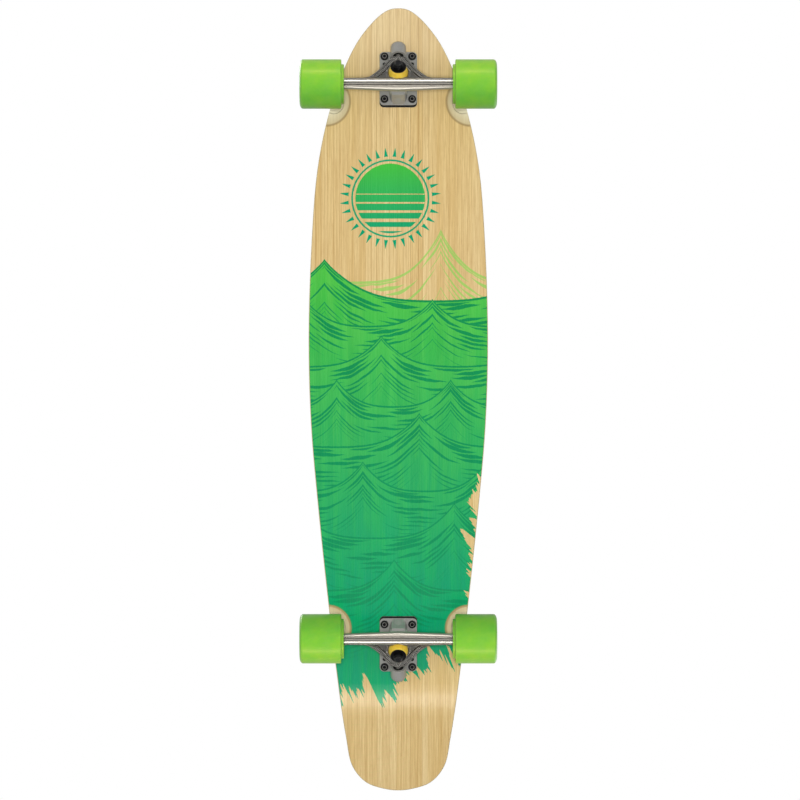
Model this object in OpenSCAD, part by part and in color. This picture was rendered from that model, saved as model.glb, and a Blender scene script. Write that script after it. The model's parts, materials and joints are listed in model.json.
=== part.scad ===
// Kicktail longboard: a laminated deck on two reverse-kingpin trucks with four wheels.
// Millimetres. +X runs to the nose, +Y to the rider's left, +Z up. The origin is on the
// ground, below the middle of the deck. Each truck is drawn in its own frame, with x
// outboard (away from the middle of the deck), z away from the deck and the axle at x = 0,
// and is then turned over and set under the nose or the tail.

/* [Deck] */
// Length of the deck from nose tip to tail end, seen from above
deck_length = 1172; // [1040:1:1240]
// Greatest width of the deck
deck_width = 268; // [256:1:285]
// Thickness of one veneer
ply_t = 1.6; // [1.4:0.1:1.9]
// Thickness of the grip tape
grip_t = 1; // [0.6:0.1:1.4]
// Radius of the rounded rail along the deck's edge
rail_r = 3; // [2:0.1:4]
// Width of the flat strip along the middle of the concave
flat_w = 130; // [116:1:150]
// Radius of the concave beside the flat strip
concave_r = 400; // [340:5:600]
// Length of the kicktail, from the start of its bend to the tail end
kick_len = 163; // [150:1:172]
// Angle of the kicktail
kick_angle = 20; // [12:0.5:24]
// Radius of the kicktail's bend at the deck's underside
kick_r = 140; // [100:1:180]
// Radius of the sanded wheel wells at the nose, seen from below
front_well_r = 36; // [28:1:40]
// Radius of the sanded wheel wells at the tail, seen from below
rear_well_r = 34; // [30:1:42]
// Depth of the wheel wells at their middle
well_depth = 4.4; // [2:0.1:5]

/* [Truck] */
// Distance from the nose tip to the middle of the front truck's bolts
nose_to_bolts = 104.5; // [99:0.5:114]
// Distance from the tail end to the middle of the rear truck's bolts
tail_to_bolts = 221; // [215:0.5:229]
// Thickness of the riser pad
riser_t = 3; // [2:0.5:6]
// How far the baseplate reaches beyond its outboard bolts
plate_out = 6.5; // [6.2:0.1:10]
// How far the baseplate reaches beyond its inboard bolts
plate_in = 9; // [7:0.1:12]
// Width of the baseplate
plate_w = 55; // [54:0.5:62]
// Thickness of the baseplate
plate_t = 6; // [5:0.1:7]
// Spacing of the outer deck bolts along the board
bolt_len = 63.5; // [62.5:0.1:65]
// Spacing of the second, inner hole row along the board
inner_bolt_len = 52; // [51:0.1:54.5]
// Spacing of the deck bolts across the board
bolt_w = 41.3; // [40.5:0.1:42]
// Distance of the axle inboard of the middle of the bolts
axle_setback = 13.3; // [12:0.1:14.5]
// Height of the axle off the baseplate's mounting face
ride_height = 60; // [58:0.5:63]
// Distance of the hanger ring outboard of the axle
ring_out = 14; // [13.5:0.1:14.5]
// Height of the hanger ring off the mounting face
ring_h = 41; // [40:0.5:42]
// Distance of the pivot outboard of the axle
pivot_out = 50; // [49:0.5:52]
// Height of the pivot off the mounting face
pivot_h = 14; // [13:0.5:15]
// Width of the hanger between the wheels' speed washers
hanger_w = 180; // [170:1:190]
// Diameter of the bar round the axle at the middle of the hanger
beam_d = 15.8; // [15:0.1:15.9]
// Diameter of the bar round the axle at the hanger's ends
beam_end_d = 14; // [12.5:0.1:15]

/* [Kingpin and bushings] */
// Diameter of the kingpin
kingpin_d = 9.5; // [8.5:0.1:10]
// Diameter of the bushings
bushing_d = 29; // [25:0.1:29.4]
// Height of each bushing
bushing_h = 15; // [14:0.1:16]
// Diameter of the cupped washers
washer_d = 23.5; // [21:0.1:25]
// Thickness of the cupped washers
washer_t = 2; // [1.5:0.1:2.5]

/* [Wheels] */
// Diameter of the wheels
wheel_d = 73; // [68:0.5:76]
// Width of the wheels, with their inner lips
wheel_w = 65.4; // [60:0.2:68]
// How far a wheel's inner lip reaches over the end of the hanger
lip_over = 9.6; // [7:0.1:10.5]
// How far in from the tread a wheel's rounded outer edge starts
wheel_edge_r = 9; // [5:0.5:10]
// Diameter of the axle
axle_d = 8; // [7.5:0.1:8.2]
// Thickness of a speed washer
speed_t = 1; // [0.6:0.1:1.4]
// Outer diameter of a bearing
bearing_d = 22; // [21.5:0.1:23]
// Width of a bearing
bearing_w = 7; // [6.5:0.1:8]
// Length of the spacer between the two bearings of a wheel
spacer_len = 10; // [9:0.1:12]
// Thickness of an axle nut
axle_nut_h = 7.5; // [6:0.1:9]

/* [Hidden] */
$fn = 64;
fine = 360;         // facets of a full turn on the large spheres and bends
far = 400;          // reach of a cutter that runs clear of the part
run_gap = 0.3;      // gap between parts that turn against each other
fit_gap = 0.4;      // radial gap round a bolt

ENDS = ["front", "rear"];
SIDES = ["left", "right"];
core_plies = 5;
TRUCK_PIECES = [
    "riser_pad", "baseplate", "pivot_cup", "kingpin", "kingpin_nut", "board_bushing",
    "road_bushing", "board_washer", "road_washer", "deck_bolts", "deck_nuts", "hanger",
    "axle", "axle_nuts", "speed_washers", "bearing_inner_rings", "bearing_spacers"
];
WHEEL_PIECES = ["tyre", "core", "bearing_outer_rings", "bearing_balls"];
NODES = concat(
    ["bottom_veneer"],
    [for (i = [1:core_plies]) str("core_ply_", i)],
    ["top_veneer", "grip_tape"],
    [for (e = ENDS, p = TRUCK_PIECES) str(e, "_", p)],
    [for (e = ENDS, s = SIDES, p = WHEEL_PIECES) str(e, "_", s, "_", p)]
);
node = "all";

// Heights of the layers, from the ground up.
axle_z = wheel_d / 2;
mount_z = axle_z + ride_height;             // the baseplate's mounting face
deck_z = mount_z + riser_t;                 // the deck's underside
n_plies = core_plies + 2;
deck_t = n_plies * ply_t;
nose_x = deck_length / 2;
tail_x = -deck_length / 2;
kick_x = tail_x + kick_len;                 // where the kicktail starts to bend
front_axle_x = nose_x - nose_to_bolts - axle_setback;
rear_axle_x = tail_x + tail_to_bolts + axle_setback;

// Colours.
maple = "#e2c48d";
cross_maple = "#c99f63";
ink_teal = "#1f9c78";
grit = "#26262a";
cast_grey = "#9b9a99";
steel = "#b9bcc0";
black = "#1b1b1d";
amber = "#e9b520";
wheel_green = "#79c93d";
core_white = "#e9efe2";

// ---------------------------------------------------------------- the deck's outline

// Half of the outline, nose tip to tail end: share of the length, share of the half width.
outline_shape = [
    [0, 0], [0.0013, 0.09], [0.0065, 0.177], [0.02, 0.304], [0.045, 0.468], [0.085, 0.633],
    [0.138, 0.784], [0.205, 0.902], [0.3, 0.968], [0.42, 1], [0.53, 0.974], [0.63, 0.899],
    [0.74, 0.798], [0.84, 0.695], [0.93, 0.585], [0.968, 0.515], [0.9895, 0.36], [0.9985, 0.134], [1, 0]
];
steps_per_span = 5;

function outline_half() = [
    for (p = outline_shape) [nose_x - p[0] * deck_length, p[1] * deck_width / 2]
];
function reversed(list) = [for (i = [len(list) - 1 : -1 : 0]) list[i]];
function flipped(list) = [for (p = list) [p[0], -p[1]]];
// The left half, then the right half back to the nose, without doubling the two tips.
function outline_ring() = let (
    left = outline_half(),
    right = reversed(flipped(left))
) concat(left, [for (i = [1 : len(right) - 2]) right[i]]);

// A centripetal Catmull-Rom span between the two middle points of four.
function mix(a, b, ta, tb, t) = ((tb - t) * a + (t - ta) * b) / (tb - ta);
function knot(t, a, b) = t + sqrt(norm(b - a));
function span_point(p, u) = let (
    t0 = 0, t1 = knot(t0, p[0], p[1]), t2 = knot(t1, p[1], p[2]), t3 = knot(t2, p[2], p[3]),
    t = t1 + u * (t2 - t1),
    a1 = mix(p[0], p[1], t0, t1, t),
    a2 = mix(p[1], p[2], t1, t2, t),
    a3 = mix(p[2], p[3], t2, t3, t),
    b1 = mix(a1, a2, t0, t2, t),
    b2 = mix(a2, a3, t1, t3, t)
) mix(b1, b2, t1, t2, t);
function smooth_ring(ring) = let (n = len(ring)) [
    for (i = [0 : n - 1], s = [0 : steps_per_span - 1])
        span_point([for (k = [-1 : 2]) ring[(i + k + n) % n]], s / steps_per_span)
];
// Every point of a counter-clockwise ring moved inwards, square to its two neighbours.
function inset_ring(ring, d) = let (n = len(ring)) [
    for (i = [0 : n - 1]) let (
        along = ring[(i + 1) % n] - ring[(i + n - 1) % n],
        inward = [-along[1], along[0]] / norm(along)
    ) ring[i] + d * inward
];
deck_ring = smooth_ring(outline_ring());

// How far the rounded rail draws a layer in, at depth z below the nearer face.
function rail_inset(z) = z < rail_r ? rail_r - sqrt(rail_r * rail_r - pow(rail_r - z, 2)) : 0;

// ---------------------------------------------------------------- the laminated deck

// One side of the concave, from the flat strip outwards, at height z above the underside.
concave_steps = 8;
concave_reach = asin((deck_width / 2 + 4 - flat_w / 2) / (concave_r - deck_t - grip_t));
function concave_line(z) = [
    for (i = [0 : concave_steps]) let (a = i * concave_reach / concave_steps)
        [flat_w / 2 + (concave_r - z) * sin(a), concave_r - (concave_r - z) * cos(a)]
];
function both_sides(line) = concat([for (p = reversed(line)) [-p[0], p[1]]], line);

// Cross-section of a layer between two heights above the deck's underside.
module layer_section(z0, z1)
    polygon(concat(both_sides(concave_line(z0)), reversed(both_sides(concave_line(z1)))));

// The layer before it is cut to shape: straight, then bent, then straight up the kicktail.
module layer_sheet(z0, z1) {
    translate([kick_x, 0, deck_z])
        rotate([90, 0, 90])
            linear_extrude(nose_x - kick_x + 1) layer_section(z0, z1);
    translate([kick_x, 0, deck_z + kick_r])
        rotate([-90, 90, 0])
            rotate_extrude(angle = kick_angle, $fn = fine)
                translate([kick_r, 0]) rotate(90) layer_section(z0, z1);
    translate([kick_x, 0, deck_z + kick_r])
        rotate([0, kick_angle, 0])
            translate([-kick_len * 1.2, 0, -kick_r])
                rotate([90, 0, 90])
                    linear_extrude(kick_len * 1.2) layer_section(z0, z1);
}

// The sphere that sands a wheel well of that radius and depth into the underside.
module well_cutter(well_r) {
    rise = (well_r * well_r - well_depth * well_depth) / (2 * well_depth);
    translate([0, 0, deck_z - rise]) sphere(rise + well_depth, $fn = fine);
}

// Middles of the wells: how far inboard of the axle, and how far from the centre line.
front_well = [21.5, 108];
rear_well = [12, 105];

module wheel_wells() for (side = [-1, 1]) {
    translate([front_axle_x - front_well[0], side * front_well[1], 0]) well_cutter(front_well_r);
    translate([rear_axle_x + rear_well[0], side * rear_well[1], 0]) well_cutter(rear_well_r);
}

// Puts its children under each truck's middle of bolts.
module at_bolt_centres() {
    for (x = [nose_x - nose_to_bolts, tail_x + tail_to_bolts]) translate([x, 0, 0]) children();
}

module at_bolts(length = bolt_len) {
    for (sx = [-1, 1], sy = [-1, 1])
        translate([sx * length / 2, sy * bolt_w / 2, 0]) children();
}

bolt_d = 4.8;
bolt_head_d = 9.6;
bolt_head_h = 3;
bolt_hole_d = bolt_d + 2 * fit_gap;

// The countersunk holes of the eight deck bolts, clear through the deck.
module bolt_holes() {
    at_bolt_centres() at_bolts() {
        translate([0, 0, deck_z - 1]) cylinder(d = bolt_hole_d, h = deck_t + grip_t + 2);
        translate([0, 0, deck_z + deck_t - bolt_head_h])
            cylinder(d1 = bolt_hole_d, d2 = bolt_head_d + 2 * fit_gap, h = bolt_head_h);
        translate([0, 0, deck_z + deck_t])
            cylinder(d = bolt_head_d + 2 * fit_gap, h = grip_t + 1);
    }
}

module deck_layer(z0, z1, inset) {
    difference() {
        intersection() {
            layer_sheet(z0, z1);
            translate([0, 0, deck_z - 1])
                linear_extrude(far) polygon(inset_ring(deck_ring, inset));
        }
        bolt_holes();
        if (z0 < well_depth) wheel_wells();
    }
}

// One of the deck's veneers, counted from 0 at the underside.
module ply(i) {
    mid = (i + 0.5) * ply_t;
    deck_layer(i * ply_t, (i + 1) * ply_t, rail_inset(min(mid, deck_t - mid)));
}

module bottom_veneer() color(maple) ply(0);
module core_ply(i) color(i % 2 == 1 ? cross_maple : maple) ply(i);
module top_veneer() color(maple) ply(n_plies - 1);
module grip_tape() color(grit) deck_layer(deck_t, deck_t + grip_t, rail_inset(0));

// ---------------------------------------------------------------- the truck's frame

steer_angle = atan2(ring_h - pivot_h, pivot_out - ring_out);
pivot_reach = norm([pivot_out - ring_out, ring_h - pivot_h]);   // ring to pivot
bolts_x = axle_setback;                     // the middle of the bolts
plate_len = bolt_len + plate_out + plate_in;
plate_mid = bolts_x + (plate_out - plate_in) / 2;
plate_end = plate_mid + plate_len / 2;      // the baseplate's outboard end
plate_toe = plate_mid - plate_len / 2;      // and its inboard one

// The ring's frame: x along the steering axis to the pivot, z along the kingpin.
module at_ring() translate([ring_out, 0, ring_h]) rotate([0, steer_angle, 0]) children();
module at_axle() translate([0, 0, ride_height]) rotate([90, 0, 0]) children();
// A point of the ring's frame, as x and z of the truck's frame.
function from_ring(x, z) = [
    ring_out + x * cos(steer_angle) + z * sin(steer_angle),
    ring_h - x * sin(steer_angle) + z * cos(steer_angle)
];
// The axle's place in the ring's frame.
axle_in_ring = [
    -ring_out * cos(steer_angle) - (ride_height - ring_h) * sin(steer_angle),
    -ring_out * sin(steer_angle) + (ride_height - ring_h) * cos(steer_angle)
];

// The stack on the kingpin, as heights in the ring's frame.
web_t = 6;
kingpin_nut_h = 8;
kingpin_af = 14.3;
seat_wall = 12;                             // metal between the seat and the kingpin's head
kingpin_head_h = 6;
road_washer_z = web_t / 2 + bushing_h;
kingpin_nut_z = road_washer_z + washer_t;
kingpin_end_z = kingpin_nut_z + kingpin_nut_h + 2.5;
board_washer_z = -web_t / 2 - bushing_h - washer_t;
seat_z = board_washer_z;
kingpin_head_z = seat_z - seat_wall;

function hex_d(across_flats) = across_flats / cos(30);
module hexagon(across_flats, h) cylinder(d = hex_d(across_flats), h = h, $fn = 6);

module rounded_plate(length, width, r, h) {
    linear_extrude(h) {
        square([length - 2 * r, width], center = true);
        square([length, width - 2 * r], center = true);
        for (sx = [-1, 1], sy = [-1, 1])
            translate([sx * (length / 2 - r), sy * (width / 2 - r)]) circle(r);
    }
}

// ---------------------------------------------------------------- baseplate and riser

plate_corner_r = 6;
riser_corner_r = 6.5;
riser_margin = 0.5;                         // how far the riser shows round the baseplate
riser_tail = 2.5;                           // and how much more at the inboard end
boss_d = 27;                                // the kingpin's boss
housing_d = 23;                             // the pivot's housing
housing_r = 7;                              // radius of its closed end's edge
cup_d = 16;                                 // the pivot cup
cup_depth = 14;
cup_mouth = pivot_reach - 7;                // where the cup opens, along the steering axis
housing_end = cup_mouth + cup_depth + 8.8;

module at_plate() translate([plate_mid, 0, 0]) children();
module at_truck_bolts() translate([bolts_x, 0, 0]) children();

module truck_bolt_holes(z0, h) {
    at_truck_bolts() {
        at_bolts() translate([0, 0, z0]) cylinder(d = bolt_hole_d, h = h);
        translate([inner_bolt_len - bolt_len / 2, 0, z0])
            for (sy = [-1, 1]) translate([0, sy * bolt_w / 2, 0]) cylinder(d = bolt_hole_d, h = h);
    }
}

module riser_pad() color(black) difference() {
    translate([plate_mid - riser_tail / 2, 0, -riser_t])
        rounded_plate(
            plate_len + 2 * riser_margin + riser_tail, plate_w + 2 * riser_margin, riser_corner_r, riser_t
        );
    at_truck_bolts() at_bolts() translate([0, 0, -riser_t - 1]) cylinder(d = bolt_hole_d, h = riser_t + 2);
}

// The wedge that carries the kingpin's seat, as a side profile, with a narrow ramp that
// runs down from it to the baseplate's inboard end.
ramp_w = 19;
module kingpin_wedge() {
    inboard = plate_toe + 1;
    top = from_ring(-boss_d / 2, seat_z);
    toe = from_ring(boss_d / 2, seat_z);
    shoulder = top + [-3, -4];
    rotate([90, 0, 0]) linear_extrude(boss_d - 2, center = true)
        polygon([toe, top, shoulder, [shoulder[0] - 1, 0], [toe[0], 0]]);
    rotate([90, 0, 0]) linear_extrude(ramp_w, center = true)
        polygon([
            toe, top, [shoulder[0] - 2, shoulder[1] + 1], [inboard + 3, plate_t + 3],
            [inboard, plate_t], [inboard, 0], [toe[0], 0]
        ]);
}

// The rib that ties the wedge to the pivot's housing.
module keel() {
    start = from_ring(boss_d / 2, seat_z);
    mouth = from_ring(cup_mouth + 4, -housing_d / 4);
    rotate([90, 0, 0])
        linear_extrude(housing_d - 9, center = true)
            polygon([[0, 0], [0, plate_t], start - [0, 4], mouth, [mouth[0], 0]]);
}

// Cheeks that spread the housing's load out over the baseplate.
module cheeks() {
    start = pivot_out - 17;
    end = plate_end - 1;
    for (side = [0, 1]) mirror([0, side, 0])
        translate([start, 0, 0]) rotate([90, 0, 90]) linear_extrude(end - start)
            polygon([[0, 0], [0, plate_t + 5], [9.5, plate_t + 5], [15, plate_t + 0.5], [15, 0]]);
}

// The pivot's housing, from its mouth to its rounded closed end.
module housing() {
    reach = housing_end - cup_mouth;
    rotate_extrude()
        polygon(concat(
            [[0, reach], [0, 0], [housing_d / 2, 0]],
            [for (a = [0 : 15 : 90])
                [housing_d / 2 - housing_r + housing_r * cos(a), reach - housing_r + housing_r * sin(a)]]
        ));
}

module baseplate() color(cast_grey) difference() {
    union() {
        at_plate() rounded_plate(plate_len, plate_w, plate_corner_r, plate_t);
        intersection() {
            union() {
                at_ring() {
                    translate([0, 0, seat_z - 3 * seat_wall]) cylinder(d = boss_d, h = 3 * seat_wall);
                    translate([cup_mouth, 0, 0]) rotate([0, 90, 0]) housing();
                }
                kingpin_wedge();
            }
            translate([plate_toe + 1, -far / 2, 0]) cube([far, far, far]);
        }
        keel();
        cheeks();
    }
    truck_bolt_holes(-1, plate_t + 2);
    // room round the nuts
    at_truck_bolts() at_bolts() translate([0, 0, plate_t]) cylinder(d = nut_flange_d + 2, h = 30);
    at_ring() {
        translate([0, 0, kingpin_head_z - 1]) cylinder(d = kingpin_d + 2 * fit_gap, h = far);
        rotate(30) translate([0, 0, kingpin_head_z - far])
            hexagon(kingpin_af + 2 * fit_gap, far);
        translate([cup_mouth - 30, 0, 0]) rotate([0, 90, 0]) cylinder(d = cup_d, h = cup_depth + 30);
    }
}

// ---------------------------------------------------------------- pivot cup and kingpin

pivot_d = 11;
neck_d = 10;                                // the hanger's neck, just behind its round tip
nose_d = 12;

module pivot_cup() color(black) at_ring() translate([cup_mouth, 0, 0]) rotate([0, 90, 0])
    difference() {
        cylinder(d = cup_d, h = cup_depth);
        translate([0, 0, pivot_reach - cup_mouth]) sphere(d = pivot_d + 2 * run_gap);
        translate([0, 0, -1])
            cylinder(d = pivot_d + 2 * run_gap, h = pivot_reach - cup_mouth + 1);
        translate([0, 0, -0.01]) cylinder(d1 = pivot_d + 3, d2 = pivot_d + 2 * run_gap, h = 4);
    }

module kingpin() color(steel) at_ring() {
    translate([0, 0, kingpin_head_z]) cylinder(d = kingpin_d, h = kingpin_end_z - kingpin_head_z - 1);
    translate([0, 0, kingpin_end_z - 1]) cylinder(d1 = kingpin_d, d2 = kingpin_d - 2, h = 1);
    rotate(30) translate([0, 0, kingpin_head_z - kingpin_head_h]) hexagon(kingpin_af, kingpin_head_h);
}

// A lock nut on a shank: hexagon with a turned chamfer and a nylon collar.
module lock_nut(shank_d, across_flats, h) {
    collar_h = h / 4;
    difference() {
        union() {
            intersection() {
                hexagon(across_flats, h - collar_h);
                cylinder(d1 = hex_d(across_flats) + 2, d2 = across_flats, h = h - collar_h);
            }
            translate([0, 0, h - collar_h])
                cylinder(d1 = across_flats - 1, d2 = across_flats - 3, h = collar_h);
        }
        translate([0, 0, -1]) cylinder(d = shank_d, h = h + 2);
    }
}

module kingpin_nut() color(black) at_ring() translate([0, 0, kingpin_nut_z])
    lock_nut(kingpin_d, kingpin_af, kingpin_nut_h);

// A barrel bushing: its middle swells a little between two short collars.
module bushing() {
    collar = 2;
    swell = 0.6;
    rotate_extrude()
        polygon([
            [kingpin_d / 2 + run_gap, 0], [bushing_d / 2 - 1, 0], [bushing_d / 2, 1],
            [bushing_d / 2, collar], [bushing_d / 2 + swell, bushing_h / 2],
            [bushing_d / 2, bushing_h - collar], [bushing_d / 2, bushing_h - 1],
            [bushing_d / 2 - 1, bushing_h], [kingpin_d / 2 + run_gap, bushing_h]
        ]);
}

// The road-side bushing is a cone: full width on the hanger, as wide as the washer above it.
module cone_bushing() {
    top_r = washer_d / 2 + 0.3;
    rotate_extrude()
        polygon([
            [kingpin_d / 2 + run_gap, 0], [bushing_d / 2 - 1, 0], [bushing_d / 2, 1],
            [bushing_d / 2, 0.4 * bushing_h], [top_r, bushing_h - 1], [top_r - 0.8, bushing_h],
            [kingpin_d / 2 + run_gap, bushing_h]
        ]);
}

module board_bushing() color(amber) at_ring() translate([0, 0, -web_t / 2 - bushing_h]) bushing();
module road_bushing() color(amber) at_ring() translate([0, 0, web_t / 2]) cone_bushing();

// A flat washer with a dished rim that bends away from the bushing.
module cupped_washer() {
    dish = 0.8;
    rotate_extrude()
        polygon([
            [kingpin_d / 2 + run_gap, 0], [washer_d / 2 - 2.5, 0], [washer_d / 2, dish],
            [washer_d / 2, dish + 1], [washer_d / 2 - 2.5, washer_t], [kingpin_d / 2 + run_gap, washer_t]
        ]);
}

module road_washer() color(black) at_ring() translate([0, 0, road_washer_z]) cupped_washer();
module board_washer() color(black) at_ring() translate([0, 0, -web_t / 2 - bushing_h])
    mirror([0, 0, 1]) difference() {
        cylinder(d = washer_d, h = washer_t);
        translate([0, 0, -1]) cylinder(d = kingpin_d + 2 * run_gap, h = washer_t + 2);
    }

// ---------------------------------------------------------------- deck bolts

bolt_nut_af = 9.5;
bolt_nut_d = hex_d(bolt_nut_af);
bolt_nut_h = 5.5;
nut_flange_d = 12;                          // the washer under each nut, of one piece with it
nut_flange_t = 1.2;
bolt_end_h = plate_t + bolt_nut_h + 1.5;
deck_top_h = -riser_t - deck_t;             // the deck's top, seen from the truck

module deck_bolts() color(black) at_truck_bolts() at_bolts() difference() {
    union() {
        translate([0, 0, deck_top_h]) cylinder(d1 = bolt_head_d, d2 = bolt_d, h = bolt_head_h - 0.4);
        translate([0, 0, deck_top_h]) cylinder(d = bolt_d, h = bolt_end_h - deck_top_h);
    }
    translate([0, 0, deck_top_h - 1]) hexagon(3, 3);
}

module deck_nuts() color(black) at_truck_bolts() at_bolts() translate([0, 0, plate_t]) {
    lock_nut(bolt_d, bolt_nut_af, bolt_nut_h);
    difference() {
        cylinder(d1 = nut_flange_d, d2 = nut_flange_d - 1, h = nut_flange_t);
        translate([0, 0, -1]) cylinder(d = bolt_nut_af - 2, h = nut_flange_t + 2);
    }
}

// ---------------------------------------------------------------- hanger and axle

yoke_t = 8;                                 // thickness of the yoke's floor
groove_w = 1.7;                             // the groove along the beam's underside
groove_floor = 6;                           // and how far its floor is from the axle
yoke_tip = 11;                              // half width at the pivot end
yoke_shoulder = [18, 21];                   // where each leg starts to widen, x and half width
yoke_root = [-13, 54];                      // where each leg runs out along the beam
ring_d = 36;
tip_rib_w = 2.4;                            // width of the ribs from the ring to the pivot end
recess_d = bushing_d + 2.4;
recess_depth = 3;
yoke_floor = -web_t / 2 - recess_depth;
yoke_end = pivot_reach - 12;
yoke_point = yoke_end + 3.2;                // the floor and two of its ribs run out to a point

function bezier(a, b, c, n) = [
    for (i = [1 : n]) let (t = i / n) (1 - t) * (1 - t) * a + 2 * t * (1 - t) * b + t * t * c
];
// The outer edge of the left leg, from the pivot end to the beam.
leg_edge = concat(
    [[yoke_end, yoke_tip], yoke_shoulder],
    bezier(yoke_shoulder, [-2, yoke_shoulder[1] + 13], yoke_root, 8)
);
// That edge moved towards the middle by d, square to its run.
function leg_inset(d) = let (n = len(leg_edge) - 1) [
    for (i = [0 : n]) let (
        along = leg_edge[min(i + 1, n)] - leg_edge[max(i - 1, 0)],
        inward = [along[1], -along[0]] / norm(along)
    ) leg_edge[i] - d * inward
];

// The yoke's side profile: level under the ring, then rising to meet the beam. The ribs
// stand on the same floor, higher by rise.
module yoke_side(rise = 0) {
    top = yoke_floor + yoke_t + rise;
    meet = axle_in_ring + [3, 0];
    rotate([90, 0, 0]) linear_extrude(far, center = true)
        polygon([
            [yoke_point, yoke_floor], [yoke_point, top], [-6, top], [meet[0] + 6, meet[1] + 2 + rise / 3],
            meet, [meet[0], meet[1] - beam_d / 2 + 1], [-4, yoke_floor]
        ]);
}

// A raised rib along the leg, from d0 to d1 inside its edge.
module leg_rib(d0, d1, rise) intersection() {
    translate([0, 0, yoke_floor]) linear_extrude(far)
        polygon(concat(
            leg_inset(d0), [[axle_in_ring[0], yoke_root[1]], [axle_in_ring[0], yoke_root[1] - d1]],
            reversed(leg_inset(d1))
        ));
    yoke_side(rise);
}

// The A-shaped yoke in the ring's frame: a thin floor with two raised ribs down each leg.
module yoke() {
    foot = [[axle_in_ring[0], yoke_root[1]]];
    intersection() {
        translate([0, 0, yoke_floor - 1]) linear_extrude(far)
            polygon(concat([[yoke_point, 0]], leg_edge, foot, reversed(flipped(concat(leg_edge, foot)))));
        yoke_side();
    }
    for (side = [0, 1]) mirror([0, side, 0]) {
        leg_rib(0, 2.6, 2.4);
        leg_rib(5, 7.6, 3.6);
    }
    // a third pair of ribs that runs from the ring's sides to a point at the pivot end
    for (side = [0, 1]) mirror([0, side, 0]) intersection() {
        translate([0, 0, yoke_floor]) linear_extrude(far)
            polygon([
                [4, ring_d / 2], [yoke_point, 0.9], [yoke_point, 0], [yoke_point - 1.5 * tip_rib_w, 0],
                [4, ring_d / 2 - tip_rib_w]
            ]);
        yoke_side(4.6);
    }
    // the bridge that closes the ribs' V at the pivot end
    translate([yoke_end - 3, -yoke_tip, yoke_floor]) cube([3, 2 * yoke_tip, yoke_t + 2.4]);
}

// Half of the beam: a bar round the axle with a rounded rib and a flat strip side by side
// under the axle, a groove between them, and a thin rib that runs out from the yoke.
strip_x = [-8.2, -3.5];                     // middles of the strip's rounded edges
strip_edge_r = 2.6;
strip_h = beam_d / 2 + 2;                   // how far the strip's beaded edges reach from the axle
strip_taper = 3.3;                          // how much narrower the strip is at the wheel
bead = 0.2;                                 // how far the edges stand out of the strip's faces
module half_beam() {
    reach = hanger_w / 2;
    edge_z = ride_height + strip_h - strip_edge_r;
    on_axle(0) cylinder(d1 = beam_d, d2 = beam_end_d, h = reach);
    translate([3.7, 0, ride_height + 5.6]) rotate([-90, 0, 0]) cylinder(r1 = 4.3, r2 = 3.6, h = reach - 1);
    translate([6.8, 0, ride_height - 4.5]) rotate([-90, 0, 0]) cylinder(r1 = 4, r2 = 2.4, h = reach - 3);
    translate([strip_x[1], 0, edge_z]) rotate([-90, 0, 0]) cylinder(r = strip_edge_r, h = reach - 1.5);
    translate([strip_x[0], 0, edge_z]) rotate([0, 0, -atan2(strip_taper, reach)])
        rotate([-90, 0, 0]) cylinder(r = strip_edge_r, h = reach - 1.5);
    // the strip's body, with its side wall and then its face
    for (level = [[bead, ride_height - 2, edge_z + 0.4], [strip_edge_r, edge_z, edge_z + strip_edge_r - bead]])
        translate([0, 0, level[1]]) linear_extrude(level[2] - level[1])
            polygon([
                [strip_x[1], 0], [strip_x[1], reach - 2],
                [strip_x[0] - strip_edge_r + level[0] + strip_taper * (reach - 2) / reach, reach - 2],
                [strip_x[0] - strip_edge_r + level[0], 0]
            ]);
}

module hanger() color(steel) difference() {
    union() {
        for (side = [0, 1]) mirror([0, side, 0]) half_beam();
        at_ring() {
            yoke();
            translate([0, 0, yoke_floor]) cylinder(d = ring_d, h = web_t + 2 * recess_depth);
            // the nose that runs into the pivot cup and ends in a blunt ball
            translate([yoke_end - 8, 0, 0]) rotate([0, 90, 0]) rotate_extrude()
                polygon(concat(
                    [[0, 0], [nose_d / 2, 0], [nose_d / 2, 8], [neck_d / 2, 12], [neck_d / 2, 17.4]],
                    [for (a = [-20 : 10 : 70]) [pivot_d / 2 * cos(a), 20 + pivot_d / 2 * sin(a)]],
                    [[0, 20 + pivot_d / 2 * sin(70)]]
                ));
        }
    }
    at_ring() {
        for (side = [0, 1]) mirror([0, 0, side])
            translate([0, 0, web_t / 2]) cylinder(d = recess_d, h = 30);
        translate([0, 0, -web_t]) cylinder(d = kingpin_d + 3.5, h = 2 * web_t);
    }
    on_axle(-far / 2) cylinder(d = axle_d, h = far);
    // the groove between the two ribs under the axle
    translate([-groove_w / 2, -far / 2, ride_height + groove_floor]) cube([groove_w, far, 20]);
}

// ---------------------------------------------------------------- what sits on the axle

core_w = 2 * bearing_w + spacer_len;
inner_bearing_y = hanger_w / 2 + speed_t;
outer_bearing_y = inner_bearing_y + bearing_w + spacer_len;
core_end_y = inner_bearing_y + core_w;
axle_nut_af = 13;
axle_end_y = core_end_y + speed_t + axle_nut_h + 3;
speed_d = 11.5;
inner_ring_d = 12;
ball_pitch_d = 15.2;
ball_d = 3.9;
ball_count = 7;
groove_d = ball_d + 2 * 0.2;

// On the axle's left half, y measured from the middle of the hanger.
module on_axle(y) translate([0, 0, ride_height]) rotate([-90, 0, 0]) translate([0, 0, y]) children();
module both_ends() for (side = [0, 1]) mirror([0, side, 0]) children();

module axle() color(steel) both_ends() {
    on_axle(0) cylinder(d = axle_d, h = axle_end_y - 1);
    on_axle(axle_end_y - 1) cylinder(d1 = axle_d, d2 = axle_d - 2, h = 1);
}

module axle_nuts() color(steel) both_ends() on_axle(core_end_y + speed_t)
    lock_nut(axle_d, axle_nut_af, axle_nut_h);

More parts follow.
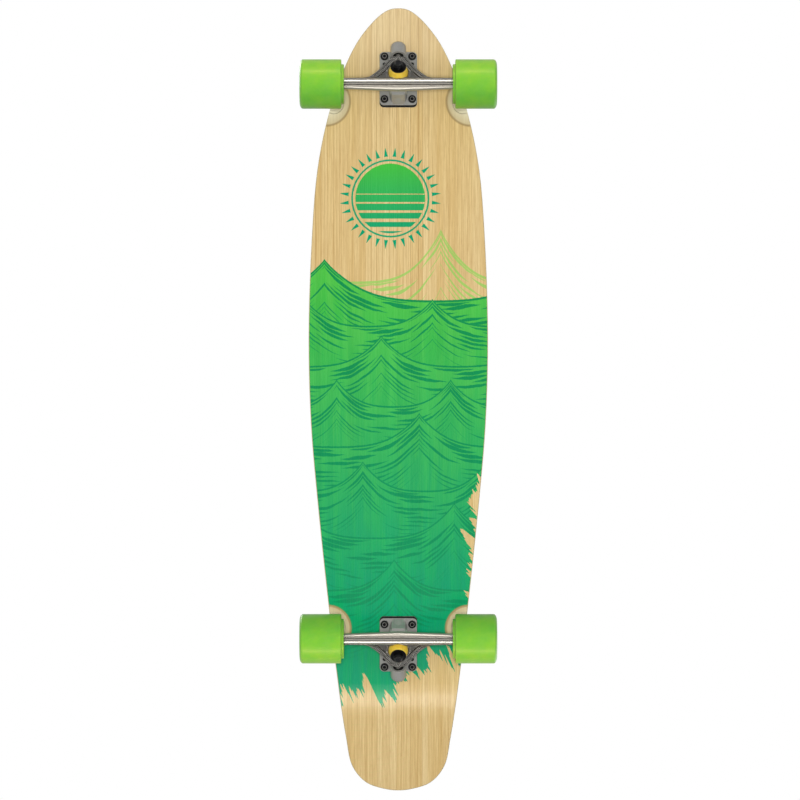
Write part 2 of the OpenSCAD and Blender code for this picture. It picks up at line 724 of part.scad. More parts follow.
module speed_washer() difference() {
    cylinder(d = speed_d, h = speed_t);
    translate([0, 0, -1]) cylinder(d = axle_d, h = speed_t + 2);
}
module speed_washers() color(steel) both_ends() {
    on_axle(hanger_w / 2) speed_washer();
    on_axle(core_end_y) speed_washer();
}

module bearing_spacers() color(steel) both_ends() on_axle(inner_bearing_y + bearing_w) difference() {
    cylinder(d = inner_ring_d - 1.5, h = spacer_len);
    translate([0, 0, -1]) cylinder(d = axle_d, h = spacer_len + 2);
}

// The ball track that both rings of a bearing share.
module ball_track() translate([ball_pitch_d / 2, bearing_w / 2]) circle(d = groove_d);

module bearing_inner_rings() color(steel) both_ends() for (y = [inner_bearing_y, outer_bearing_y])
    on_axle(y) rotate_extrude() difference() {
        translate([axle_d / 2, 0]) square([(inner_ring_d - axle_d) / 2, bearing_w]);
        ball_track();
    }

// ---------------------------------------------------------------- wheel pieces

shield_t = 0.5;
core_d = 32;
shoulder_d = bearing_d - 3;                 // the core's shoulder between the bearings
wheel_in_y = hanger_w / 2 - lip_over;       // the wheel's inner face
wheel_out_y = wheel_in_y + wheel_w;

module bearing_outer_rings() color(steel) for (y = [inner_bearing_y, outer_bearing_y])
    on_axle(y) rotate_extrude() difference() {
        union() {
            translate([ball_pitch_d / 2 + 1.4, 0]) square([(bearing_d - ball_pitch_d) / 2 - 1.4, bearing_w]);
            for (z = [0, bearing_w - shield_t])
                translate([inner_ring_d / 2 + run_gap, z])
                    square([(bearing_d - inner_ring_d) / 2 - run_gap, shield_t]);
        }
        ball_track();
    }

// The balls and the thin cage that keeps them apart.
module bearing_balls() color(steel) for (y = [inner_bearing_y, outer_bearing_y])
    on_axle(y + bearing_w / 2) {
        for (i = [0 : ball_count - 1])
            rotate(i * 360 / ball_count) translate([ball_pitch_d / 2, 0, 0]) sphere(d = ball_d, $fn = 24);
        difference() {
            cylinder(d = ball_pitch_d + 1.6, h = 1.2, center = true);
            cylinder(d = ball_pitch_d - 1.6, h = 3, center = true);
        }
    }

module core() color(core_white) on_axle(inner_bearing_y) rotate_extrude()
    polygon([
        [bearing_d / 2, 0], [core_d / 2, 0], [core_d / 2, core_w], [bearing_d / 2, core_w],
        [bearing_d / 2, core_w - bearing_w], [shoulder_d / 2, core_w - bearing_w],
        [shoulder_d / 2, bearing_w], [bearing_d / 2, bearing_w]
    ]);

// The urethane tyre: a wide tread with a rounded outer edge, a square inner one, a narrower
// lip that covers the hanger's end, and a dished mouth on each side.
inner_lip = 3.9;                            // how far the lip reaches beyond the tread
inner_lip_r = wheel_d / 2 - 7.2;
outer_lip = 5;
module tyre() {
    r = wheel_d / 2;
    face_r = r - wheel_edge_r;
    back = inner_bearing_y - wheel_in_y;    // depth of the inner mouth
    front = core_end_y - wheel_in_y;        // where the core ends
    color(wheel_green) on_axle(wheel_in_y) rotate_extrude($fn = 128)
        polygon(concat(
            [
                [core_d / 2, back], [inner_lip_r - 4, 1], [inner_lip_r - 2.2, 0], [inner_lip_r - 0.8, 0],
                [inner_lip_r, 0.8], [inner_lip_r, inner_lip - 0.8], [inner_lip_r + 0.8, inner_lip],
                [r - 1.4, inner_lip], [r - 0.4, inner_lip + 0.4], [r, inner_lip + 1.4]
            ],
            [for (a = [90 : -15 : 0])
                [face_r + wheel_edge_r * sin(a), wheel_w - outer_lip + outer_lip * cos(a)]],
            [[face_r - 1, wheel_w], [face_r - 3, wheel_w - 1.2], [core_d / 2, front]]
        ));
}

// ---------------------------------------------------------------- placing

module truck_piece(p) {
    if (p == "riser_pad") riser_pad();
    if (p == "baseplate") baseplate();
    if (p == "pivot_cup") pivot_cup();
    if (p == "kingpin") kingpin();
    if (p == "kingpin_nut") kingpin_nut();
    if (p == "board_bushing") board_bushing();
    if (p == "road_bushing") road_bushing();
    if (p == "board_washer") board_washer();
    if (p == "road_washer") road_washer();
    if (p == "deck_bolts") deck_bolts();
    if (p == "deck_nuts") deck_nuts();
    if (p == "hanger") hanger();
    if (p == "axle") axle();
    if (p == "axle_nuts") axle_nuts();
    if (p == "speed_washers") speed_washers();
    if (p == "bearing_inner_rings") bearing_inner_rings();
    if (p == "bearing_spacers") bearing_spacers();
}

module wheel_piece(p) {
    if (p == "tyre") tyre();
    if (p == "core") core();
    if (p == "bearing_outer_rings") bearing_outer_rings();
    if (p == "bearing_balls") bearing_balls();
}

// Turns a truck over and sets it under the nose or the tail.
module under(end) translate([end == "front" ? front_axle_x : rear_axle_x, 0, mount_z])
    rotate([180, 0, end == "front" ? 0 : 180]) children();

// A wheel is drawn on the truck's +y side, which the turning over puts on the board's
// right at the nose and on its left at the tail.
module wheel_side(end, side) mirror([0, (end == "front") == (side == "left") ? 1 : 0, 0]) children();

function wanted(name) = node == "all" || node == name;

if (wanted("bottom_veneer")) bottom_veneer();
for (i = [1 : core_plies]) if (wanted(str("core_ply_", i))) core_ply(i);
if (wanted("top_veneer")) top_veneer();
if (wanted("grip_tape")) grip_tape();
for (e = ENDS, p = TRUCK_PIECES) if (wanted(str(e, "_", p))) under(e) truck_piece(p);
for (e = ENDS, s = SIDES, p = WHEEL_PIECES)
    if (wanted(str(e, "_", s, "_", p))) under(e) wheel_side(e, s) wheel_piece(p);
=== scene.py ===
import json
import math

import bmesh
import bpy
from mathutils import Matrix, Vector

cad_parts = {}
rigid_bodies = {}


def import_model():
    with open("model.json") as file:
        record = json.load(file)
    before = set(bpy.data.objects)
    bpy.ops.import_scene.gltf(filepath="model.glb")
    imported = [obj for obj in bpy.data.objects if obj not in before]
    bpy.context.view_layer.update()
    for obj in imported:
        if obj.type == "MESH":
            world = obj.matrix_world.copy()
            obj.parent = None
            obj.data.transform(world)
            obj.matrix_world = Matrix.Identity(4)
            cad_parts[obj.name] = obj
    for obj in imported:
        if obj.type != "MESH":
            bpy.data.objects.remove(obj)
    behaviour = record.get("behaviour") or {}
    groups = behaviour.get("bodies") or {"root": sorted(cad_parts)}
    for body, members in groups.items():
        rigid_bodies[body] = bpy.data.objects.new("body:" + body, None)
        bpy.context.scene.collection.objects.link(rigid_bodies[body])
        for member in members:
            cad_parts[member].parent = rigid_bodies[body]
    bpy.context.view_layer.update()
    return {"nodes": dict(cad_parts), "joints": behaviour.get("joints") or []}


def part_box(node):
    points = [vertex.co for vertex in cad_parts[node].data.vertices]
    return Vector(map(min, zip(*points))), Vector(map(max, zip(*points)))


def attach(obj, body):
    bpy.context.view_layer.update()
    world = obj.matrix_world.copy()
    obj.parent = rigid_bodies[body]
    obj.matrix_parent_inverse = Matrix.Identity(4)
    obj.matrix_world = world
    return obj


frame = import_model()
nodes = frame["nodes"]
joints = {joint["name"]: joint for joint in frame["joints"]}
ends = ("front", "rear")
wheels = [(end, side) for end in ends for side in ("left", "right")]
axleAt = {end: Vector(joints[end + "_left_spin"]["pos_m"]) * Vector((1, 0, 1)) for end in ends}


def shade(red, green, blue):
    # a screen colour from 0 to 255 as a linear one
    return tuple(c / 12.92 if c <= 0.04045 else ((c + 0.055) / 1.055) ** 2.4
                 for c in (red / 255, green / 255, blue / 255)) + (1.0,)


def put(tree, kind, inputs=None, **settings):
    made = tree.nodes.new("ShaderNode" + kind)
    for key, value in settings.items():
        setattr(made, key, value)
    for key, value in (inputs or {}).items():
        socket = made.inputs[key]
        if isinstance(value, bpy.types.NodeSocket):
            tree.links.new(value, socket)
        else:
            socket.default_value = value
    return made


def calc(tree, operation, first, second=0.0, third=0.0, clamp=False):
    return put(tree, "Math", {0: first, 1: second, 2: third},
               operation=operation, use_clamp=clamp).outputs[0]


def times(tree, first, second, clamp=False):
    return calc(tree, "MULTIPLY", first, second, clamp=clamp)


def plus(tree, first, second, clamp=False):
    return calc(tree, "ADD", first, second, clamp=clamp)


def minus(tree, first, second):
    return calc(tree, "SUBTRACT", first, second)


def held(tree, value):
    # keeps a value between 0 and 1
    return plus(tree, value, 0.0, clamp=True)


def hypotenuse(tree, first, second):
    return calc(tree, "SQRT", plus(tree, times(tree, first, first), times(tree, second, second)))


def parts(tree, vector):
    return put(tree, "SeparateXYZ", {0: vector}).outputs


def point(tree, x, y, z=0.0):
    return put(tree, "CombineXYZ", {0: x, 1: y, 2: z}).outputs[0]


def spread(tree, value, fromLow, fromHigh, toLow=0.0, toHigh=1.0, smooth=False):
    # maps a value from one range to another and holds it there
    return put(tree, "MapRange", {"Value": value, "From Min": fromLow, "From Max": fromHigh,
                                  "To Min": toLow, "To Max": toHigh},
               interpolation_type="SMOOTHSTEP" if smooth else "LINEAR").outputs[0]


def tint(tree, factor, first, second, mode="MIX"):
    return put(tree, "Mix", {0: factor, 6: first, 7: second},
               data_type="RGBA", blend_type=mode).outputs[2]


def between(tree, value, rise, fall):
    # 1 from the end of rise to the start of fall, which are both (from, to)
    return times(tree, spread(tree, value, *rise), spread(tree, value, *fall, 1.0, 0.0))


def grey(tree, value):
    return put(tree, "CombineColor", {0: value, 1: value, 2: value}).outputs[0]


def offMiddle(tree, value):
    # distance from the middle of each whole step, 0 to 0.5
    return calc(tree, "ABSOLUTE", minus(tree, calc(tree, "FRACT", value), 0.5))


def stretch(tree, vector, scale, shift=(0, 0, 0)):
    moved = put(tree, "VectorMath", {0: vector, 1: scale, 2: shift}, operation="MULTIPLY_ADD")
    return moved.outputs[0]


def noise(tree, vector, scale=1.0, detail=2.0, rough=0.5, warp=0.0):
    return put(tree, "TexNoise", {"Vector": vector, "Scale": scale, "Detail": detail,
                                  "Roughness": rough, "Distortion": warp}).outputs["Fac"]


def newGroup(name, inputs, outputs):
    # every group also takes the place it is read at, as Vector
    group = bpy.data.node_groups.new(name, "ShaderNodeTree")
    kinds = {1: "NodeSocketFloat", 3: "NodeSocketVector", 4: "NodeSocketColor"}
    for label, value in {"Vector": (0.0, 0.0, 0.0), **inputs}.items():
        size = len(value) if isinstance(value, tuple) else 1
        socket = group.interface.new_socket(name=label, in_out="INPUT", socket_type=kinds[size])
        socket.default_value = value
    for label, size in outputs.items():
        group.interface.new_socket(name=label, in_out="OUTPUT", socket_type=kinds[size])
    return group, group.nodes.new("NodeGroupInput").outputs, group.nodes.new("NodeGroupOutput").inputs


def place(tree, group, values):
    return put(tree, "Group", values, node_tree=group).outputs


def newMaterial(name):
    material = bpy.data.materials.new(name)
    material.use_nodes = True
    tree = material.node_tree
    tree.nodes.clear()
    skin = tree.nodes.new("ShaderNodeBsdfPrincipled")
    tree.links.new(skin.outputs[0], tree.nodes.new("ShaderNodeOutputMaterial").inputs[0])
    return material, tree, skin, put(tree, "TexCoord").outputs["Object"]


def feed(tree, skin, **inputs):
    # sets or links the shader's sockets; "_" in a name stands for a space
    for key, value in inputs.items():
        socket = skin.inputs[key.replace("_", " ")]
        if isinstance(value, bpy.types.NodeSocket):
            tree.links.new(value, socket)
        else:
            socket.default_value = value


def relief(tree, height, depth, softEdge=0.0004):
    # bump over an edge that is rounded by softEdge metres
    edge = put(tree, "Bevel", {"Radius": softEdge}, samples=4).outputs[0]
    return put(tree, "Bump", {"Height": height, "Distance": depth, "Strength": 1.0,
                              "Normal": edge}).outputs[0]


def dress(material, *names):
    for name in names:
        mesh = nodes[name].data
        if not mesh.materials:
            mesh.materials.append(material)
        for slot in nodes[name].material_slots:
            slot.material = material


def addObject(name, data):
    made = bpy.data.objects.new(name, data)
    bpy.context.scene.collection.objects.link(made)
    return made


def makeVeneerGrain():
    # strips of wood side by side, with grain lines, pores and darker seams
    white = (1.0, 1.0, 1.0, 1.0)
    tree, given, out = newGroup("veneerGrain", {
        "Strip Width": 0.012, "Strip Contrast": 0.5, "Grain Contrast": 0.4, "Seam Strength": 0.4,
        "Pale": white, "Warm": white, "Seam": white}, {"Color": 4, "Height": 1, "Tone": 1})
    spot = given["Vector"]
    axes = parts(tree, spot)
    sway = times(tree, minus(tree, noise(tree, stretch(tree, spot, (1.6, 9, 9))), 0.5), 0.0035)
    across = calc(tree, "DIVIDE", plus(tree, axes["Y"], sway), given["Strip Width"])
    strip = put(tree, "TexVoronoi", {"W": across, "Scale": 1.0, "Randomness": 0.75},
                voronoi_dimensions="1D").outputs["Color"]
    gap = put(tree, "TexVoronoi", {"W": across, "Scale": 1.0, "Randomness": 0.75},
              voronoi_dimensions="1D", feature="DISTANCE_TO_EDGE").outputs["Distance"]
    picked = put(tree, "SeparateColor", {0: strip}).outputs
    # each strip is cut from another place of the log
    log = point(tree, times(tree, picked[1], 7.0), 0.0, picked[2])
    local = put(tree, "VectorMath", {0: spot, 1: log}, operation="ADD").outputs[0]
    broad = noise(tree, stretch(tree, local, (2.2, 45, 45)), 1.0, 3.0, 0.6)
    fine = noise(tree, stretch(tree, local, (14, 620, 620)), 1.0, 4.0, 0.65)
    pores = spread(tree, noise(tree, stretch(tree, local, (75, 1900, 1900)), 1.0, 2.0), 0.56, 0.7)
    tone = plus(tree, times(tree, minus(tree, picked[0], 0.5), given["Strip Contrast"]),
                calc(tree, "MULTIPLY_ADD", minus(tree, broad, 0.5), 1.1, 0.5))
    body = tint(tree, held(tree, tone), given["Pale"], given["Warm"])
    lines = plus(tree, spread(tree, fine, 0.38, 0.66), times(tree, pores, 0.7))
    body = tint(tree, times(tree, lines, given["Grain Contrast"]), body, given["Seam"])
    strength = times(tree, spread(tree, picked[2], 0.2, 0.9), given["Seam Strength"])
    edge = times(tree, spread(tree, gap, 0.015, 0.07, 1.0, 0.0), strength)
    tree.links.new(tint(tree, edge, body, given["Seam"]), out["Color"])
    tree.links.new(minus(tree, fine, plus(tree, times(tree, pores, 0.5), edge)), out["Height"])
    tree.links.new(tone, out["Tone"])
    return tree


def makeEdgeWear():
    # finds edges by comparing the true normal with a rounded one
    tree, given, out = newGroup("edgeWear", {
        "Radius": 0.001, "Patchiness": 0.5, "Scale": 300.0}, {"Mask": 1})
    soft = put(tree, "Bevel", {"Radius": given["Radius"]}, samples=6).outputs[0]
    flat = put(tree, "NewGeometry").outputs["Normal"]
    same = put(tree, "VectorMath", {0: soft, 1: flat}, operation="DOT_PRODUCT").outputs["Value"]
    edge = spread(tree, same, 0.995, 0.86)
    patchy = spread(tree, noise(tree, given["Vector"], given["Scale"], 3.0), 0.35, 0.65)
    lost = times(tree, given["Patchiness"], minus(tree, 1.0, patchy))
    tree.links.new(times(tree, edge, minus(tree, 1.0, lost), clamp=True), out["Mask"])
    return tree


def makeCastSkin():
    # pebbled metal as it comes out of a mould
    tree, given, out = newGroup("castSkin", {
        "Grain Size": 0.0008, "Blotches": 0.5}, {"Height": 1, "Tone": 1})
    scale = calc(tree, "DIVIDE", 1.0, given["Grain Size"])
    pebble = put(tree, "TexVoronoi", {"Vector": given["Vector"], "Scale": scale, "Randomness": 1.0},
                 feature="SMOOTH_F1").outputs["Distance"]
    fine = noise(tree, given["Vector"], times(tree, scale, 1.7), 3.0)
    cloud = noise(tree, given["Vector"], times(tree, scale, 0.06), 4.0, 0.6)
    tree.links.new(calc(tree, "MULTIPLY_ADD", fine, 0.6, pebble), out["Height"])
    blotch = minus(tree, cloud, 0.5)
    tone = calc(tree, "MULTIPLY_ADD", blotch, given["Blotches"], times(tree, fine, 0.3))
    tree.links.new(tone, out["Tone"])
    return tree


def makeToolLines():
    # fine lines left by turning or brushing, longest where Run's number is smallest
    tree, given, out = newGroup("toolLines", {
        "Run": (1.0, 12.0, 12.0), "Scale": 120.0}, {"Height": 1, "Tone": 1})
    along = put(tree, "VectorMath", {0: given["Vector"], 1: given["Run"]}, operation="MULTIPLY").outputs[0]
    lines = noise(tree, along, given["Scale"], 5.0, 0.7)
    cloud = noise(tree, given["Vector"], 55.0, 3.0)
    tree.links.new(lines, out["Height"])
    tree.links.new(calc(tree, "MULTIPLY_ADD", lines, 0.5, times(tree, cloud, 0.5)), out["Tone"])
    return tree


def makeDust():
    # a thin uneven film with a few specks
    tree, given, out = newGroup("dust", {"Amount": 0.2, "Scale": 40.0}, {"Mask": 1})
    cloud = noise(tree, given["Vector"], given["Scale"], 5.0, 0.65)
    fineScale = times(tree, given["Scale"], 22.0)
    specks = put(tree, "TexVoronoi", {"Vector": given["Vector"], "Scale": fineScale}).outputs
    rare = calc(tree, "GREATER_THAN", put(tree, "SeparateColor", {0: specks["Color"]}).outputs[0], 0.93)
    speck = times(tree, spread(tree, specks["Distance"], 0.06, 0.16, 1.0, 0.0), rare)
    mask = plus(tree, spread(tree, cloud, 0.45, 0.8), speck)
    tree.links.new(times(tree, mask, given["Amount"], clamp=True), out["Mask"])
    return tree


def makeNearPair():
    # distance in plan to one pair of points, mirrored across the middle of the deck
    tree, given, out = newGroup("nearPair", {"Along": 0.4, "Across": 0.1}, {"Distance": 1})
    axes = parts(tree, given["Vector"])
    dx = minus(tree, axes["X"], given["Along"])
    dy = minus(tree, calc(tree, "ABSOLUTE", axes["Y"]), given["Across"])
    tree.links.new(hypotenuse(tree, dx, dy), out["Distance"])
    return tree


veneerGrain = makeVeneerGrain()
edgeWear = makeEdgeWear()
castSkin = makeCastSkin()
toolLines = makeToolLines()
dust = makeDust()
nearPair = makeNearPair()
print("shared effects made")


def wearMask(tree, spot, radius, patchiness, scale):
    return place(tree, edgeWear, {"Vector": spot, "Radius": radius, "Patchiness": patchiness,
                                  "Scale": scale})["Mask"]


def dustMask(tree, spot, amount, scale):
    return place(tree, dust, {"Vector": spot, "Amount": amount, "Scale": scale})["Mask"]


# the printed design is a cut sun over rolling swell that fades out in dry brush streaks
def makeSwell():
    # one sheet of water: everything on the tail side of its crest line, with cut strokes along it
    tree, given, out = newGroup("swell", {
        "Crest": 0.1, "Rise": 0.03, "Wave Length": 0.2, "Phase": 0.0, "Lean": 0.2, "Stroke Gap": 0.007,
        "Stroke Weight": 0.5, "Stroke Reach": 0.06, "Rim": 0.0022}, {"Fill": 1, "Stroke": 1, "Depth": 1})
    axes = parts(tree, given["Vector"])
    waves = calc(tree, "DIVIDE", axes["Y"], given["Wave Length"])
    turn = calc(tree, "MULTIPLY_ADD", waves, math.pi, given["Phase"])
    leaned = calc(tree, "MULTIPLY_ADD", calc(tree, "SINE", times(tree, turn, 2.0)), given["Lean"], turn)
    bowl = calc(tree, "POWER", calc(tree, "ABSOLUTE", calc(tree, "SINE", leaned)), 0.85)
    crest = calc(tree, "MULTIPLY_ADD", minus(tree, 1.0, bowl), given["Rise"], given["Crest"])
    rag = times(tree, minus(tree, noise(tree, given["Vector"], 260.0, 3.0), 0.5), 0.0012)
    depth = plus(tree, minus(tree, crest, axes["X"]), rag)
    fill = spread(tree, depth, -0.0002, 0.0002)
    rimFoot = plus(tree, given["Rim"], 0.0004)
    rim = times(tree, fill, spread(tree, depth, given["Rim"], rimFoot, 1.0, 0.0))
    # strokes parallel to the crest, each with its own breaks
    wander = noise(tree, stretch(tree, given["Vector"], (9, 22, 0)), 1.0, 2.0)
    drift = calc(tree, "MULTIPLY_ADD", wander, 1.6, calc(tree, "DIVIDE", depth, given["Stroke Gap"]))
    middle = times(tree, offMiddle(tree, drift), 2.0)
    rowSeed = calc(tree, "MULTIPLY_ADD", calc(tree, "FLOOR", drift), 1.37, given["Phase"])
    seed = put(tree, "TexWhiteNoise", {"W": rowSeed}, noise_dimensions="1D").outputs["Value"]
    pace = calc(tree, "MULTIPLY_ADD", seed, 50.0, 45.0)
    beat = calc(tree, "SINE", calc(tree, "MULTIPLY_ADD", axes["Y"], pace, times(tree, seed, 40.0)))
    fade = times(tree, spread(tree, depth, 0.0, given["Stroke Reach"], 1.0, 0.0), given["Stroke Weight"])
    weight = times(tree, calc(tree, "MULTIPLY_ADD", beat, 0.55, 0.3), fade)
    stroke = spread(tree, minus(tree, weight, middle), -0.03, 0.03)
    stroke = times(tree, stroke, times(tree, fill, spread(tree, depth, 0.004, 0.005)))
    tree.links.new(fill, out["Fill"])
    tree.links.new(calc(tree, "MAXIMUM", rim, stroke), out["Stroke"])
    tree.links.new(depth, out["Depth"])
    return tree


def makeSun():
    # a disc cut by bands, with a thin ring and a wreath of spikes round it
    tree, given, out = newGroup("cutSun", {
        "Along": 0.3, "Across": 0.0, "Radius": 0.05, "Bands": 6.0, "Rays": 28.0}, {"Fill": 1, "Line": 1})
    axes = parts(tree, given["Vector"])
    rag = times(tree, minus(tree, noise(tree, given["Vector"], 300.0, 3.0), 0.5), 0.02)
    dx = calc(tree, "DIVIDE", minus(tree, axes["X"], given["Along"]), given["Radius"])
    dy = calc(tree, "DIVIDE", minus(tree, axes["Y"], given["Across"]), given["Radius"])
    reach = plus(tree, rag, hypotenuse(tree, dx, dy))
    disc = spread(tree, reach, 0.995, 1.005, 1.0, 0.0)
    # the gaps between the bands widen towards the water
    beat = offMiddle(tree, times(tree, plus(tree, dx, 1.0), times(tree, given["Bands"], 0.5)))
    wide = plus(tree, spread(tree, dx, -1.0, 0.35, 0.26, 0.0), times(tree, rag, 1.5))
    slit = spread(tree, minus(tree, wide, beat), -0.01, 0.01)
    slit = times(tree, slit, calc(tree, "LESS_THAN", dx, 0.35))
    ring = between(tree, reach, (1.064, 1.076), (1.114, 1.126))
    # every other spike is longer
    angle = times(tree, calc(tree, "ARCTAN2", dy, dx), calc(tree, "DIVIDE", given["Rays"], 2 * math.pi))
    odd = times(tree, calc(tree, "ABSOLUTE", calc(tree, "SINE", times(tree, angle, math.pi / 2))), 0.2)
    tip = spread(tree, reach, 1.2, plus(tree, 1.32, odd), 0.24, 0.0)
    beyond = times(tree, calc(tree, "GREATER_THAN", reach, 1.2), calc(tree, "GREATER_THAN", tip, 0.012))
    spike = times(tree, spread(tree, minus(tree, tip, offMiddle(tree, angle)), -0.01, 0.01), beyond)
    tree.links.new(times(tree, disc, minus(tree, 1.0, slit)), out["Fill"])
    tree.links.new(calc(tree, "MAXIMUM", ring, spike), out["Line"])
    return tree


def makeBrushEnd():
    # keeps what lies before Start and lets it run out in pointed streaks up to End
    tree, given, out = newGroup("brushEnd", {
        "Start": -0.38, "End": -0.46, "Slant": 0.35, "Streaks": 70.0, "Seed": 0.0}, {"Mask": 1})
    axes = parts(tree, given["Vector"])
    run = minus(tree, axes["X"], given["Start"])
    side = calc(tree, "MULTIPLY_ADD", run, given["Slant"], axes["Y"])
    comb = put(tree, "TexNoise", {"W": calc(tree, "MULTIPLY_ADD", side, given["Streaks"], given["Seed"]),
                                  "Scale": 1.0, "Detail": 3.0, "Roughness": 0.62},
               noise_dimensions="1D").outputs["Fac"]
    needed = spread(tree, run, 0.0, minus(tree, given["End"], given["Start"]), 0.3, 0.74)
    kept = spread(tree, minus(tree, comb, needed), -0.006, 0.006)
    tree.links.new(calc(tree, "MAXIMUM", kept, calc(tree, "GREATER_THAN", run, 0.0)), out["Mask"])
    return tree


swell = makeSwell()
cutSun = makeSun()
brushEnd = makeBrushEnd()

printLook = {
    "lime": shade(66, 188, 62), "teal": shade(0, 157, 109), "deepTeal": shade(0, 145, 92),
    "mist": shade(150, 204, 96), "limeLip": shade(92, 200, 78), "tealLip": shade(2, 170, 96),
    "cutGreen": shade(8, 142, 76),
    "limeFrom": 0.2, "tealUpTo": -0.3,  # where along the deck the ink is all lime and all teal
    "sun": {"Along": 0.302, "Across": -0.012, "Radius": 0.052, "Bands": 8.0, "Rays": 32.0},
    "farSwell": {"Crest": 0.178, "Rise": 0.078, "Wave Length": 0.26, "Phase": 2.0, "Lean": 0.3,
                 "Stroke Gap": 0.009, "Stroke Weight": 0.9, "Stroke Reach": 0.12, "Rim": 0.0035},
    "foot": {"Start": -0.398, "End": -0.475, "Slant": 0.42, "Streaks": 62.0, "Seed": 3.2},
    "flank": {"Start": -0.088, "End": -0.13, "Slant": -0.9, "Streaks": 46.0, "Seed": 8.4},
    # crest, rise, wave length, phase, lean, stroke gap, stroke reach
    "sheets": [
        (0.150, 0.062, 0.330, 1.05, 0.24, 0.0068, 0.075),
        (0.112, 0.040, 0.190, 2.30, 0.20, 0.0062, 0.060),
        (0.052, 0.046, 0.230, 0.35, 0.24, 0.0066, 0.070),
        (-0.008, 0.040, 0.170, 1.70, 0.20, 0.0060, 0.060),
        (-0.068, 0.050, 0.250, 2.75, 0.26, 0.0068, 0.075),
        (-0.134, 0.044, 0.185, 0.90, 0.22, 0.0062, 0.065),
        (-0.204, 0.052, 0.240, 2.05, 0.26, 0.0068, 0.080),
        (-0.282, 0.046, 0.200, 0.10, 0.22, 0.0070, 0.090),
    ],
}


def printOn(tree, spot, wood, tone, bare):
    # lays the design's inks over the wood; bare is a mask that stays unprinted
    axes = parts(tree, spot)
    look = printLook
    blend = spread(tree, axes["X"], look["tealUpTo"], look["limeFrom"])
    lipInk = tint(tree, blend, look["tealLip"], look["limeLip"])
    streaks = noise(tree, stretch(tree, spot, (7, 75, 0)), 1.0, 3.0, 0.6, 0.6)
    ink = tint(tree, blend, look["teal"], look["lime"])
    ink = tint(tree, spread(tree, streaks, 0.46, 0.62, 0.0, 0.55), ink, lipInk)
    line = tint(tree, blend, look["deepTeal"], look["cutGreen"])
    grain = grey(tree, calc(tree, "MULTIPLY_ADD", minus(tree, tone, 0.5), -0.16, 1.0))

    def layInk(under, mask, color):
        return tint(tree, times(tree, mask, bare), under, tint(tree, 1.0, color, grain, "MULTIPLY"))

    # a faint far swell, printed first in pale lime
    far = place(tree, swell, {"Vector": stretch(tree, spot, (1, 1, 0), (0, 0.031, 0)), **look["farSwell"]})
    color = layInk(wood, times(tree, far["Stroke"], 0.85), look["mist"])
    sun = place(tree, cutSun, {"Vector": spot, **look["sun"]})
    middle, radius = look["sun"]["Along"], look["sun"]["Radius"]
    sunBlend = spread(tree, axes["X"], middle - radius, middle + radius)
    color = layInk(color, sun["Fill"], tint(tree, sunBlend, look["teal"], look["lime"]))
    color = layInk(color, sun["Line"], look["teal"])
    # the left side runs out last, the right side first
    late = spread(tree, axes["Y"], -0.02, 0.07, 0.0, 0.055, smooth=True)
    skewed = point(tree, minus(tree, axes["X"], late), axes["Y"])
    foot = place(tree, brushEnd, {"Vector": skewed, **look["foot"]})["Mask"]
    # and the right flank's edge slips off the deck towards the nose
    inward = calc(tree, "MULTIPLY_ADD", axes["Y"], -1.0, spread(tree, axes["X"], -0.15, -0.06, 0.0, 0.055))
    flank = place(tree, brushEnd, {"Vector": point(tree, inward, axes["X"]), **look["flank"]})["Mask"]
    kept = times(tree, foot, flank)
    for index, (crest, rise, length, phase, lean, gap, reach) in enumerate(look["sheets"]):
        sheet = place(tree, swell, {"Vector": spot, "Crest": crest, "Rise": rise, "Wave Length": length,
                                    "Phase": phase, "Lean": lean, "Stroke Gap": gap, "Stroke Weight": 1.25,
                                    "Stroke Reach": reach * 1.25, "Rim": 0.0024 if index else 0.003})
        # a bright lip under each rim line, then the ink deepens
        lip = spread(tree, sheet["Depth"], 0.0, reach * 0.9, 0.5, 0.0)
        color = layInk(color, times(tree, sheet["Fill"], kept), tint(tree, lip, ink, lipInk))
        color = layInk(color, times(tree, sheet["Stroke"], kept), line)
    return color


deckLook = {
    "stripWidth": 0.0095, "pale": shade(238, 214, 160), "warm": shade(218, 185, 120),
    "seam": shade(176, 134, 74), "nosePale": shade(241, 224, 196), "bareWood": shade(242, 234, 212),
    "rimBrown": shade(150, 122, 78), "edgePale": shade(222, 192, 140), "edgeDark": shade(160, 116, 70),
    # painted shade towards each well's rim
    "wellPaintedShade": shade(186, 168, 122),
    # each well's middle, inboard of the axle and from the centre line, and its radius
    "wellFront": (0.0215, 0.108, 0.036), "wellRear": (0.012, 0.105, 0.034),
}


def wellMasks(tree, spot):
    # distance beyond the nearer well's rim: negative inside it
    beyond = []
    for end, inboard in (("Front", -1), ("Rear", 1)):
        back, across, radius = deckLook["well" + end]
        along = axleAt[end.lower()].x + inboard * back
        gap = place(tree, nearPair, {"Vector": spot, "Along": along, "Across": across})["Distance"]
        beyond.append(minus(tree, gap, radius))
    return calc(tree, "MINIMUM", beyond[0], beyond[1])


def paintWellShade(tree, rim, color):
    # painted shade: the well gets darker and browner towards its rim
    return tint(tree, spread(tree, rim, -0.02, -0.002, 0.0, 0.75), color, deckLook["wellPaintedShade"])


def sideMask(tree, steepest):
    # 1 where a face stands upright, as on the deck's outline
    upright = parts(tree, put(tree, "NewGeometry").outputs["Normal"])["Z"]
    return spread(tree, calc(tree, "ABSOLUTE", upright), 0.55, steepest, 1.0, 0.0)


